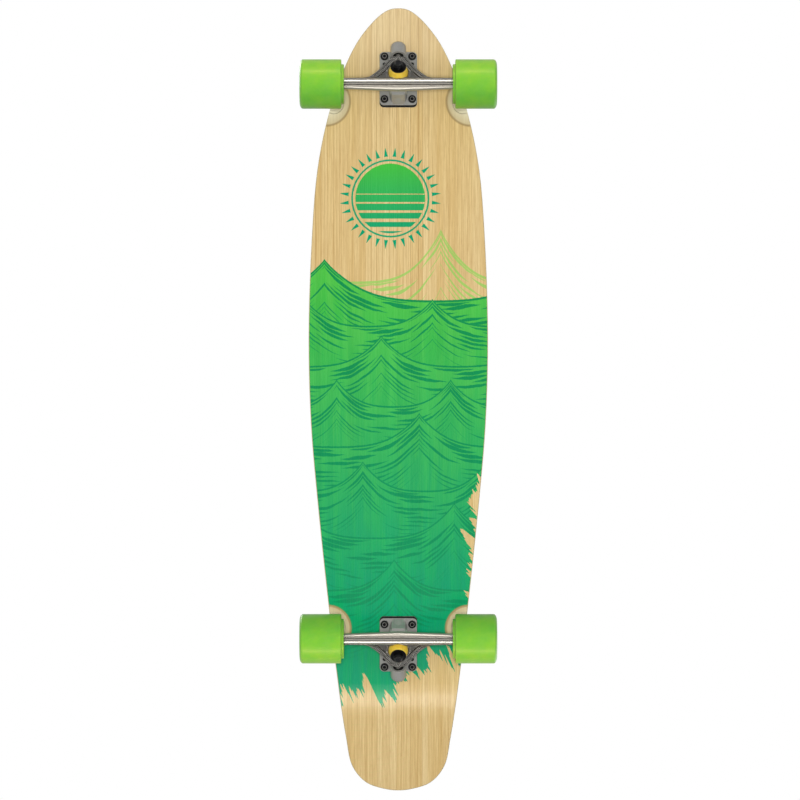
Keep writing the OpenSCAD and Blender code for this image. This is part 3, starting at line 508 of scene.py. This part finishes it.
def makePrintedVeneer():
    material, tree, skin, spot = newMaterial("printedVeneer")
    look = deckLook
    grain = place(tree, veneerGrain, {
        "Vector": stretch(tree, spot, (1, 1, 0)), "Strip Width": look["stripWidth"], "Strip Contrast": 0.36,
        "Grain Contrast": 0.46, "Seam Strength": 0.9, "Pale": look["pale"], "Warm": look["warm"],
        "Seam": look["seam"]})
    rim = wellMasks(tree, spot)
    bare = spread(tree, rim, 0.0008, 0.0014)
    sanded = spread(tree, rim, -0.0004, 0.0006, 1.0, 0.0)
    # the veneer is paler towards the nose
    paler = spread(tree, parts(tree, spot)["X"], 0.44, 0.53, 0.0, 0.18)
    wood = tint(tree, paler, grain["Color"], look["nosePale"])
    color = printOn(tree, spot, wood, grain["Tone"], bare)
    # the sanded wells, with painted shade towards their rims
    color = tint(tree, times(tree, sanded, 0.7), color, paintWellShade(tree, rim, look["bareWood"]))
    scorch = spread(tree, calc(tree, "ABSOLUTE", rim), 0.0006, 0.0024, 0.7, 0.0)
    color = tint(tree, scorch, color, look["rimBrown"])
    # the sides show the ply's own edge
    fibre = noise(tree, stretch(tree, spot, (160, 160, 2600)), 1.0, 3.0)
    color = tint(tree, sideMask(tree, 0.75), color, tint(tree, fibre, look["edgePale"], look["edgeDark"]))
    rough = spread(tree, grain["Height"], 0.0, 0.8, 0.33, 0.23)
    feed(tree, skin, Base_Color=color, Roughness=calc(tree, "MULTIPLY_ADD", sanded, 0.2, rough),
         Normal=relief(tree, grain["Height"], 0.00005, 0.0006), Coat_Weight=0.06, Coat_Roughness=0.2,
         Specular_IOR_Level=0.22)
    return material


plyLook = {
    # pale and warm face, pale and dark edge
    "pale": (shade(244, 236, 214), shade(230, 214, 180), shade(226, 198, 150), shade(176, 134, 88)),
    "cross": (shade(242, 234, 212), shade(230, 216, 184), shade(186, 142, 94), shade(126, 86, 54)),
    "top": (shade(232, 208, 160), shade(214, 180, 122), shade(222, 192, 140), shade(160, 116, 70)),
}


def makePly(kind):
    # an inner or top veneer; the cross plies' fibres run from side to side
    material, tree, skin, spot = newMaterial(kind + "Ply")
    pale, warm, edgePale, edgeDark = plyLook[kind]
    turned = spot if kind != "cross" else put(
        tree, "VectorRotate", {"Vector": spot, "Angle": math.pi / 2}, rotation_type="Z_AXIS").outputs[0]
    grain = place(tree, veneerGrain, {
        "Vector": turned, "Strip Width": 0.03, "Strip Contrast": 0.3, "Grain Contrast": 0.3,
        "Seam Strength": 0.2, "Pale": pale, "Warm": warm, "Seam": edgeDark})
    fibre = noise(tree, stretch(tree, spot, (190, 190, 2400)), 1.0, 4.0)
    pits = times(tree, noise(tree, stretch(tree, spot, (900, 900, 900)), 1.0, 2.0), 0.35)
    edge = tint(tree, calc(tree, "MULTIPLY_ADD", fibre, 0.7, pits), edgePale, edgeDark)
    rim = wellMasks(tree, spot)
    burnish = spread(tree, calc(tree, "ABSOLUTE", plus(tree, rim, 0.0095)), 0.0, 0.0012, 0.08, 0.0)
    # painted shade towards the well's rim
    face = paintWellShade(tree, rim, tint(tree, burnish, grain["Color"], deckLook["rimBrown"]))
    feed(tree, skin, Base_Color=tint(tree, sideMask(tree, 0.8), face, edge),
         Roughness=spread(tree, fibre, 0.3, 0.7, 0.5, 0.66), Specular_IOR_Level=0.35,
         Normal=relief(tree, plus(tree, grain["Height"], fibre), 0.00006, 0.0003))
    return material


gripLook = {"black": shade(24, 24, 25), "bright": shade(120, 122, 126), "dusty": shade(88, 85, 80),
            "grain": 0.00055}


def makeGripTape():
    material, tree, skin, spot = newMaterial("gripTape")
    cell = put(tree, "TexVoronoi", {"Vector": spot, "Scale": 1 / gripLook["grain"], "Randomness": 1.0})
    picked = put(tree, "SeparateColor", {0: cell.outputs["Color"]}).outputs
    peak = spread(tree, cell.outputs["Distance"], 0.2, 0.5, 1.0, 0.0)
    spark = times(tree, calc(tree, "GREATER_THAN", picked[0], 0.9), peak)
    haze = dustMask(tree, spot, 0.1, 9.0)
    worn = wearMask(tree, spot, 0.0012, 0.8, 160.0)
    color = tint(tree, times(tree, spark, 0.55), gripLook["black"], gripLook["bright"])
    color = tint(tree, plus(tree, haze, times(tree, worn, 0.3)), color, gripLook["dusty"])
    lump = calc(tree, "MULTIPLY_ADD", picked[1], 0.7, minus(tree, 1.0, cell.outputs["Distance"]))
    bump = put(tree, "Bump", {"Height": lump, "Distance": 0.0003, "Strength": 0.8}).outputs[0]
    feed(tree, skin, Base_Color=color, Roughness=spread(tree, picked[2], 0.0, 1.0, 0.62, 0.95),
         Normal=bump, Specular_IOR_Level=0.45)
    return material


dress(makePrintedVeneer(), "bottom_veneer")
dress(makePly("pale"), "core_ply_2", "core_ply_4")
dress(makePly("cross"), "core_ply_1", "core_ply_3", "core_ply_5")
dress(makePly("top"), "top_veneer")
dress(makeGripTape(), "grip_tape")
print("deck dressed")


metalLook = {
    "streak": shade(92, 92, 92), "steelEdge": shade(236, 236, 234), "film": shade(120, 112, 100),
    "oxideCloud": shade(70, 68, 66), "oxideEdge": shade(150, 148, 144),
    "pewter": shade(190, 189, 184), "pewterDip": shade(154, 153, 148), "pewterEdge": shade(232, 230, 222),
}


def makeSteel(name, base, roughness, run, clean=0.0):
    material, tree, skin, spot = newMaterial(name)
    lines = place(tree, toolLines, {"Vector": spot, "Run": run, "Scale": 130.0})
    worn = wearMask(tree, spot, 0.0006, 0.4, 400.0)
    film = dustMask(tree, spot, 0.12 - clean, 90.0)
    color = tint(tree, times(tree, lines["Tone"], 0.35), base, metalLook["streak"])
    color = tint(tree, times(tree, worn, 0.5), color, metalLook["steelEdge"])
    feed(tree, skin, Base_Color=tint(tree, film, color, metalLook["film"]), Metallic=1.0,
         Roughness=spread(tree, lines["Tone"], 0.3, 0.7, roughness - 0.06, roughness + 0.1),
         Normal=relief(tree, lines["Height"], 0.00002, 0.0003))
    return material


def makeBlackOxide(name, base, roughness):
    material, tree, skin, spot = newMaterial(name)
    cast = place(tree, castSkin, {"Vector": spot, "Grain Size": 0.0005, "Blotches": 0.6})
    worn = wearMask(tree, spot, 0.0005, 0.75, 500.0)
    color = tint(tree, times(tree, cast["Tone"], 0.4, clamp=True), base, metalLook["oxideCloud"])
    color = tint(tree, times(tree, worn, 0.35), color, metalLook["oxideEdge"])
    feed(tree, skin, Base_Color=color, Metallic=0.85,
         Roughness=spread(tree, cast["Height"], 0.2, 0.9, roughness - 0.05, roughness + 0.1),
         Normal=relief(tree, cast["Height"], 0.00002, 0.0003))
    return material


hangerLook = {
    "polished": shade(206, 203, 196), "scuffed": shade(180, 177, 169), "cast": shade(122, 121, 118),
    "hollow": shade(94, 93, 91), "brightEdge": shade(232, 231, 226), "strip": shade(198, 194, 184),
    # the groove's painted shade
    "paintedGrooveShade": shade(104, 101, 95),
    # where the tones change, from and to, outboard of the axle's middle
    "beam": ((-0.0122, -0.0112), (0.0081, 0.0089)), "groove": ((-0.0040, -0.0034), (0.0002, 0.0007)),
    "stripEdge": (-0.0038, -0.0034),
}


def makeHangerFinish(end):
    # a polished beam that runs into a blasted, darker yoke
    material, tree, skin, spot = newMaterial(end + "Hanger")
    look = hangerLook
    outward = math.copysign(1.0, axleAt[end].x)
    offset = calc(tree, "MULTIPLY_ADD", parts(tree, spot)["X"], outward, -axleAt[end].x * outward)
    offset = calc(tree, "MULTIPLY_ADD", noise(tree, spot, 260.0, 3.0), 0.0008, offset)
    beam = between(tree, offset, *look["beam"])
    lines = place(tree, toolLines, {"Vector": spot, "Run": (60.0, 1.0, 60.0), "Scale": 60.0})
    cast = place(tree, castSkin, {"Vector": spot, "Grain Size": 0.0007, "Blotches": 0.7})
    dull = tint(tree, held(tree, cast["Tone"]), look["cast"], look["hollow"])
    worn = wearMask(tree, spot, 0.0012, 0.3, 260.0)
    dull = tint(tree, times(tree, worn, 0.7), dull, look["brightEdge"])
    # the strip beside the groove is greyer, and the groove itself is darkened with painted shade
    strip = spread(tree, offset, *look["stripEdge"], 1.0, 0.0)
    paintedShade = between(tree, offset, *look["groove"])
    bright = tint(tree, times(tree, lines["Tone"], 0.4), look["polished"], look["scuffed"])
    bright = tint(tree, strip, bright, look["strip"])
    # painted shade along the groove
    bright = tint(tree, times(tree, paintedShade, 0.85), bright, look["paintedGrooveShade"])
    height = tint(tree, beam, times(tree, cast["Height"], 0.9), times(tree, lines["Height"], 0.06))
    shine = times(tree, beam, calc(tree, "MULTIPLY_ADD", strip, 0.12, -0.2))
    rough = plus(tree, shine, spread(tree, cast["Height"], 0.2, 0.9, 0.39, 0.5))
    feed(tree, skin, Base_Color=tint(tree, beam, dull, bright), Metallic=1.0, Roughness=rough,
         Normal=relief(tree, height, 0.00009, 0.0008))
    return material


def makePewter(end):
    # a tumbled casting: satin on its faces, brighter on its corners
    material, tree, skin, spot = newMaterial(end + "Baseplate")
    cast = place(tree, castSkin, {"Vector": spot, "Grain Size": 0.0009, "Blotches": 0.8})
    worn = wearMask(tree, spot, 0.0012, 0.35, 240.0)
    film = dustMask(tree, spot, 0.1, 70.0)
    color = tint(tree, held(tree, cast["Tone"]), metalLook["pewter"], metalLook["pewterDip"])
    color = tint(tree, times(tree, worn, 0.7), color, metalLook["pewterEdge"])
    feed(tree, skin, Base_Color=tint(tree, film, color, metalLook["film"]), Metallic=0.5,
         Roughness=spread(tree, cast["Height"], 0.2, 0.9, 0.42, 0.58),
         Normal=relief(tree, cast["Height"], 0.0001, 0.0008))
    return material


brightSteel = makeSteel("brightSteel", shade(196, 196, 194), 0.3, (8.0, 1.0, 8.0))
groundSteel = makeSteel("groundSteel", shade(206, 206, 204), 0.24, (1.0, 14.0, 1.0), 0.06)
kingpinSteel = makeSteel("kingpinSteel", shade(64, 64, 68), 0.32, (5.0, 5.0, 5.0))
blackOxide = makeBlackOxide("blackOxide", shade(36, 36, 39), 0.36)
for end in ends:
    dress(makeHangerFinish(end), end + "_hanger")
    dress(makePewter(end), end + "_baseplate")
    for part in ("kingpin_nut", "road_washer", "board_washer", "deck_bolts", "deck_nuts"):
        dress(blackOxide, end + "_" + part)
    dress(kingpinSteel, end + "_kingpin")
    for part in ("axle", "axle_nuts", "speed_washers", "bearing_spacers"):
        dress(brightSteel, end + "_" + part)
    dress(groundSteel, end + "_bearing_inner_rings")
for end, side in wheels:
    dress(groundSteel, end + "_" + side + "_bearing_outer_rings", end + "_" + side + "_bearing_balls")
print("metals dressed")


urethaneLook = {"edge": shade(250, 250, 235), "film": shade(190, 184, 170)}


def makeUrethane(name, base, deep, gloss, waxy, grainScale=420.0):
    material, tree, skin, spot = newMaterial(name)
    cloud = noise(tree, spot, 60.0, 4.0, 0.6)
    fine = noise(tree, spot, grainScale, 3.0)
    film = dustMask(tree, spot, 0.07, 60.0)
    worn = wearMask(tree, spot, 0.0012, 0.6, 200.0)
    color = tint(tree, spread(tree, cloud, 0.35, 0.65), base, deep)
    color = tint(tree, times(tree, worn, 0.25), color, urethaneLook["edge"])
    feed(tree, skin, Base_Color=tint(tree, film, color, urethaneLook["film"]),
         Roughness=spread(tree, plus(tree, cloud, fine), 0.7, 1.3, gloss, gloss + 0.12),
         Normal=relief(tree, fine, 0.00004, 0.0006), Subsurface_Weight=waxy, Subsurface_Scale=0.004,
         Subsurface_Radius=(0.7, 1.0, 0.3), Coat_Weight=0.15, Coat_Roughness=0.22)
    return material


tyreLook = {"tread": shade(123, 189, 50), "shadow": shade(95, 179, 56), "lip": shade(206, 236, 150),
            "film": shade(190, 196, 160)}


def makeTyre(end, side):
    # cast urethane, skimmed on a lathe: rings on the tread, faint mould flow on the cheeks
    name = end + "_" + side
    centre = Vector(joints[name + "_spin"]["pos_m"])
    material, tree, skin, spot = newMaterial(end + side.capitalize() + "Tyre")
    local = put(tree, "VectorMath", {0: spot, 1: tuple(centre)}, operation="SUBTRACT").outputs[0]
    axes = parts(tree, local)
    reach = hypotenuse(tree, axes["X"], axes["Z"])
    turned = point(tree, times(tree, axes["Y"], 2600.0), times(tree, reach, 1800.0))
    rings = noise(tree, turned, 1.0, 3.0, 0.6)
    cloud = noise(tree, local, 45.0, 4.0, 0.6)
    deeper = calc(tree, "MULTIPLY_ADD", rings, 0.3, spread(tree, cloud, 0.35, 0.65, 0.0, 0.6))
    color = tint(tree, deeper, tyreLook["tread"], tyreLook["shadow"])
    worn = wearMask(tree, local, 0.0016, 0.5, 180.0)
    color = tint(tree, times(tree, worn, 0.3), color, tyreLook["lip"])
    color = tint(tree, dustMask(tree, local, 0.05, 60.0), color, tyreLook["film"])
    parting = spread(tree, calc(tree, "ABSOLUTE", axes["Y"]), 0.0001, 0.0003, 1.0, 0.0)
    height = calc(tree, "MULTIPLY_ADD", parting, 0.8, rings)
    feed(tree, skin, Base_Color=color,
         Roughness=spread(tree, plus(tree, rings, cloud), 0.7, 1.3, 0.3, 0.42),
         Normal=relief(tree, height, 0.00004, 0.001), Subsurface_Weight=0.25, Subsurface_Scale=0.006,
         Subsurface_Radius=(0.5, 1.0, 0.2), Coat_Weight=0.08, Coat_Roughness=0.2, Specular_IOR_Level=0.36)
    return material


amber = makeUrethane("amberUrethane", shade(250, 216, 80), shade(236, 194, 56), 0.3, 0.3)
blackRubber = makeUrethane("blackUrethane", shade(20, 20, 21), shade(13, 13, 14), 0.55, 0.0, 700.0)
corePlastic = makeUrethane("corePlastic", shade(236, 234, 226), shade(222, 219, 208), 0.34, 0.1, 600.0)
for end in ends:
    dress(amber, end + "_board_bushing", end + "_road_bushing")
    dress(blackRubber, end + "_riser_pad", end + "_pivot_cup")
for end, side in wheels:
    dress(makeTyre(end, side), end + "_" + side + "_tyre")
    dress(corePlastic, end + "_" + side + "_core")
print("urethane dressed")


# pieces the solids leave out: screw threads, nylon rings and bearing clips
def frameAlong(origin, direction):
    # a matrix whose Z runs along direction
    turn = direction.to_track_quat("Z", "Y").to_matrix().to_4x4()
    return Matrix.Translation(origin) @ turn


def farthestAlong(nodeName, origin, direction, within=0.02):
    # how far a node reaches along an axis, counting only its vertices close to it
    found = []
    for vertex in nodes[nodeName].data.vertices:
        gap = vertex.co - origin
        height = gap.dot(direction)
        if (gap - direction * height).length < within:
            found.append(height)
    return max(found)


def addPiece(name, bm, body, material):
    bmesh.ops.recalc_face_normals(bm, faces=bm.faces)
    mesh = bpy.data.meshes.new(name)
    bm.to_mesh(mesh)
    bm.free()
    for face in mesh.polygons:
        face.use_smooth = True
    piece = addObject(name, mesh)
    mesh.materials.append(material)
    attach(piece, body)


def around(radius, angle, height):
    return Vector((radius * math.cos(angle), radius * math.sin(angle), height))


def bridge(bm, low, high):
    # a band of faces between two rings of vertices
    for k in range(len(low)):
        after = (k + 1) % len(low)
        bm.faces.new((low[k], low[after], high[after], high[k]))


def threadCoil(bm, radius, length, pitch, depth, matrix, steps):
    # one helical ridge with a rounded crest; its ends run out into the shank
    count = int(length / pitch * steps)
    rows = []
    for i in range(count + 1):
        angle = i * 2 * math.pi / steps
        fade = min(1.0, i / steps * 1.6, (count - i) / steps * 1.6)
        rise = i * length / count
        ridge = ((-0.42, -0.12), (-0.12, fade), (0.12, fade), (0.42, -0.12), (0.0, -0.35))
        rows.append([bm.verts.new(matrix @ around(radius + depth * crest, angle, rise + offset * pitch))
                     for offset, crest in ridge])
    for low, high in zip(rows, rows[1:]):
        bridge(bm, low, high)
    bm.faces.new(rows[0])
    bm.faces.new(rows[-1])


def turnedRing(bm, section, matrix, steps, gap=0.0):
    # spins a closed section of (radius, height) pairs; gap leaves an opening in radians
    closed = gap == 0.0
    rows = []
    for i in range(steps if closed else steps + 1):
        angle = gap / 2 + i * (2 * math.pi - gap) / steps
        rows.append([bm.verts.new(matrix @ around(radius, angle, height)) for radius, height in section])
    for low, high in zip(rows, rows[1:] + (rows[:1] if closed else [])):
        bridge(bm, low, high)
    if not closed:
        bm.faces.new(rows[0])
        bm.faces.new(rows[-1])


def roundWire(radius, wire, points=10):
    # the section of a round wire at this radius
    angles = [k * 2 * math.pi / points for k in range(points)]
    return [(radius + wire * math.cos(angle), wire * math.sin(angle)) for angle in angles]


threadLook = {
    # radius, pitch, ridge, start inside the nut, end short of the tip, steps of a turn and of the ring
    "kingpin": (0.00476, 0.00106, 0.00032, 0.0020, 0.0012, 28, 48),
    "axle": (0.0040, 0.00106, 0.00030, 0.0020, 0.0010, 28, 48),
    "bolt": (0.0024, 0.00079, 0.00024, 0.0016, 0.0004, 20, 36),
}
nylonLook = {
    # a nylon ring's section outside the thread: radius, and height over the nut's end
    "kingpin": [(0.0060, -0.0009), (0.0060, 0.0002), (0.0056, 0.0005), (0.0051, 0.0005)],
    "axle": [(0.0050, -0.0008), (0.0050, 0.0002), (0.0047, 0.0005), (0.0043, 0.0005)],
    "bolt": [(0.00325, -0.0006), (0.00325, 0.0001), (0.0031, 0.00035), (0.0027, 0.0004)],
}
clipLook = {"radius": 0.0098, "wire": 0.00035, "steps": 60, "gap": 0.22}
nylon = makeUrethane("nylonInsert", shade(150, 148, 144), shade(126, 124, 120), 0.42, 0.1, 900.0)


def fitThread(threads, rings, kind, nutEnd, outward, span):
    # span is how far the tip stands out of the nut
    radius, pitch, ridge, buried, short, steps, ringSteps = threadLook[kind]
    start = frameAlong(nutEnd - outward * buried, outward)
    threadCoil(threads, radius, span + buried - short, pitch, ridge, start, steps)
    inner, outer = radius + 0.00005, nylonLook[kind]
    section = [(inner, outer[0][1])] + outer + [(inner, 0.0001)]
    turnedRing(rings, section, frameAlong(nutEnd, outward), ringSteps)


def fitKingpin(end):
    joint = joints[end + "_steer"]
    origin = Vector(joint["pos_m"])
    turnAxis = Vector(joint["axis"]).normalized()
    outward = Vector((turnAxis.z * math.copysign(1, turnAxis.x), 0, -abs(turnAxis.x)))
    tip = farthestAlong(end + "_kingpin", origin, outward, 0.006)
    nutEnd = farthestAlong(end + "_kingpin_nut", origin, outward)
    threads, rings = bmesh.new(), bmesh.new()
    fitThread(threads, rings, "kingpin", origin + outward * nutEnd, outward, tip - nutEnd)
    addPiece(end + "_kingpin_thread", threads, "deck", kingpinSteel)
    addPiece(end + "_kingpin_nylon", rings, "deck", blackRubber)


def fitDeckBolts(end):
    # each bolt stands in the middle of its own nut, one nut to a quarter
    low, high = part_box(end + "_deck_nuts")
    quarters = {}
    for vertex in nodes[end + "_deck_nuts"].data.vertices:
        key = (vertex.co.x > (low.x + high.x) / 2, vertex.co.y > (low.y + high.y) / 2)
        quarters.setdefault(key, []).append(vertex.co)
    span = low.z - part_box(end + "_deck_bolts")[0].z
    threads, rings = bmesh.new(), bmesh.new()
    for key in sorted(quarters):
        along, across = [spot.x for spot in quarters[key]], [spot.y for spot in quarters[key]]
        nutEnd = Vector(((min(along) + max(along)) / 2, (min(across) + max(across)) / 2, low.z))
        fitThread(threads, rings, "bolt", nutEnd, Vector((0, 0, -1)), span)
    addPiece(end + "_bolt_threads", threads, "deck", blackOxide)
    addPiece(end + "_bolt_nylon", rings, "deck", nylon)


def fitAxleEnds(end):
    tip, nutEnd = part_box(end + "_axle")[1].y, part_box(end + "_axle_nuts")[1].y
    threads, rings = bmesh.new(), bmesh.new()
    for sign in (-1, 1):
        outward = Vector((0, sign, 0))
        fitThread(threads, rings, "axle", axleAt[end] + outward * nutEnd, outward, tip - nutEnd)
    addPiece(end + "_axle_threads", threads, end + "_truck", brightSteel)
    addPiece(end + "_axle_nylon", rings, end + "_truck", nylon)


def fitBearingClips(end, side):
    # the spring clip that holds each shield: an open ring of round wire
    name = end + "_" + side
    low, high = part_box(name + "_bearing_outer_rings")
    centre = Vector(joints[name + "_spin"]["pos_m"])
    section = roundWire(clipLook["radius"], clipLook["wire"])
    bm = bmesh.new()
    for y, sign in ((low.y, -1), (high.y, 1)):
        spot = frameAlong(Vector((centre.x, y, centre.z)), Vector((0, sign, 0)))
        turnedRing(bm, section, spot, clipLook["steps"], clipLook["gap"])
    addPiece(name + "_bearing_clips", bm, name + "_wheel", groundSteel)


for end in ends:
    fitKingpin(end)
    fitDeckBolts(end)
    fitAxleEnds(end)
for end, side in wheels:
    fitBearingClips(end, side)
print("threads, inserts and clips fitted")


studioLook = {
    "floor": shade(238, 238, 236), "speckle": shade(234, 234, 232), "floorReach": 20.0,
    "roomLight": 0.3, "skyLight": 0.62, "cameraPlace": (0.0012, 0.0025, -6.533), "lens": 200,
    "amber": (1.0, 0.54, 0.32), "warm": (1.0, 0.96, 0.9), "white": (1.0, 1.0, 1.0),
    # name, place, aim, length across the board, width, power, what it lights
    "lights": [
        ("noseStrip", (1.67, 0, -1.57), (0.47, 0, 0.03), 3.2, 0.4, 40, "frontMetal"),
        ("tailStrip", (-1.55, 0, -1.57), (-0.35, 0, 0.03), 3.2, 0.4, 40, "rearMetal"),
        ("noseGlow", (2.15, 0, -1.04), (0.47, 0, 0.03), 3.2, 0.34, 44, "frontTyre"),
        ("tailGlow", (-2.03, 0, -1.04), (-0.35, 0, 0.03), 3.2, 0.34, 44, "rearTyre"),
        ("kickSoft", (-1.97, 0, -3.5), (-0.44, 0, 0.1), 2.4, 1.25, 94, "deck"),
        ("beamSoft", (0, 0, -6.2), (0, 0, 0.1), 3.2, 3.2, 36, "beam"),
        ("lowLeft", (0.3, -3.0, -3.2), (0, 0, 0.05), 3.0, 2.0, 20, "fill"),
        ("lowRight", (0.3, 3.0, -3.2), (0, 0, 0.05), 3.0, 2.0, 20, "fill"),
        ("belowSoft", (0, 0, -6.2), (0, 0, 0.1), 1.0, 1.0, 244, "fill"),
        ("keyHigh", (1.4, -1.9, 2.6), (0, 0, 0.05), 1.6, 1.6, 40, "all"),
        ("fillHigh", (-1.6, 2.1, 2.2), (0, 0, 0.05), 2.2, 2.2, 24, "all"),
    ],
}


def gatherLit(name, *kinds):
    # the pieces that a light reaches, each kind by how its names start and end
    group = bpy.data.collections.new(name + "Lit")
    for thing in bpy.context.scene.objects:
        wanted = any(thing.name.startswith(start) and thing.name.endswith(word) for start, word in kinds)
        if thing.type == "MESH" and wanted:
            group.objects.link(thing)
    return group


litSets = {"deck": gatherLit("deck", ("bottom", "_veneer")), "beam": gatherLit("beam", ("", "_hanger"))}
for end in ends:
    shiny = [(end, word) for word in ("_hanger", "_axle", "_washers", "_threads")]
    litSets[end + "Metal"] = gatherLit(end + "Metal", *shiny)
    litSets[end + "Tyre"] = gatherLit(end + "Tyre", (end, "_tyre"), (end, "_core"))


def addLight(name, spot, aim, length, width, power, lit):
    lamp = bpy.data.lights.new(name, "AREA")
    lamp.shape = "RECTANGLE"
    lamp.size, lamp.size_y = length, width
    lamp.energy = power
    holder = addObject(name, lamp)
    back = (Vector(spot) - Vector(aim)).normalized()
    side = Vector((0, 1, 0))
    side = (side - back * side.dot(back)).normalized()
    rest = back.cross(side)
    holder.matrix_world = Matrix.Translation(spot) @ Matrix((side, rest, back)).transposed().to_4x4()
    holder.visible_camera = False
    glow = "amber" if lit.endswith("Tyre") else "warm" if lit in litSets else "white"
    lamp.color = studioLook[glow]
    if lit in litSets:
        holder.light_linking.receiver_collection = litSets[lit]
    holder.visible_diffuse = lit not in ("deck", "beam")
    holder.visible_glossy = lit != "fill"


def addFloor():
    # seen from above only, so the board can be looked at from below
    material = bpy.data.materials.new("studioFloor")
    material.use_nodes = True
    tree = material.node_tree
    tree.nodes.clear()
    speckle = noise(tree, put(tree, "TexCoord").outputs["Object"], 3.0, 4.0)
    color = tint(tree, speckle, studioLook["floor"], studioLook["speckle"])
    paint = put(tree, "BsdfDiffuse", {"Color": color})
    clear = put(tree, "BsdfTransparent")
    path = put(tree, "LightPath").outputs
    front = minus(tree, 1.0, put(tree, "NewGeometry").outputs["Backfacing"])
    # light that has already left the floor is not let in again from underneath
    again = times(tree, path["Is Shadow Ray"], calc(tree, "GREATER_THAN", path["Diffuse Depth"], 0.5))
    again = calc(tree, "MAXIMUM", again, calc(tree, "GREATER_THAN", path["Diffuse Depth"], 1.5))
    solid = calc(tree, "MAXIMUM", times(tree, path["Is Camera Ray"], front), again)
    mix = put(tree, "MixShader", {0: solid, 1: clear.outputs[0], 2: paint.outputs[0]})
    tree.links.new(mix.outputs[0], tree.nodes.new("ShaderNodeOutputMaterial").inputs[0])
    mesh = bpy.data.meshes.new("studio_floor")
    reach = studioLook["floorReach"]
    corners = [(-reach, -reach, 0), (reach, -reach, 0), (reach, reach, 0), (-reach, reach, 0)]
    mesh.from_pydata(corners, [], [(0, 1, 2, 3)])
    mesh.materials.append(material)
    floor = addObject("studio_floor", mesh)


def addRoom():
    world = bpy.data.worlds.new("studioRoom")
    bpy.context.scene.world = world
    world.use_nodes = True
    tree = world.node_tree
    tree.nodes.clear()
    seen = put(tree, "LightPath").outputs["Is Camera Ray"]
    # brighter overhead, so that the floor stays pale to its far edge
    height = parts(tree, put(tree, "TexCoord").outputs["Generated"])["Z"]
    room = spread(tree, height, 0.0, 0.3, studioLook["roomLight"], studioLook["skyLight"], smooth=True)
    # the camera itself sees plain white behind the board
    backdrop = tint(tree, seen, grey(tree, room), (1.0, 1.0, 1.0, 1.0))
    glow = put(tree, "Background", {"Color": backdrop})
    tree.links.new(glow.outputs[0], tree.nodes.new("ShaderNodeOutputWorld").inputs[0])


def addCamera():
    lens = bpy.data.cameras.new("studioCamera")
    lens.lens, lens.sensor_width = studioLook["lens"], 36
    lens.clip_start, lens.clip_end = 0.1, 60
    camera = addObject("studioCamera", lens)
    # straight below the deck, its nose up in the frame
    axes = Matrix(((0, 1, 0), (1, 0, 0), (0, 0, -1))).transposed().to_4x4()
    camera.matrix_world = Matrix.Translation(studioLook["cameraPlace"]) @ axes
    bpy.context.scene.camera = camera


for light in studioLook["lights"]:
    addLight(*light)
addFloor()
addRoom()
addCamera()
bpy.context.scene.view_settings.view_transform = "Standard"
print("studio lit")
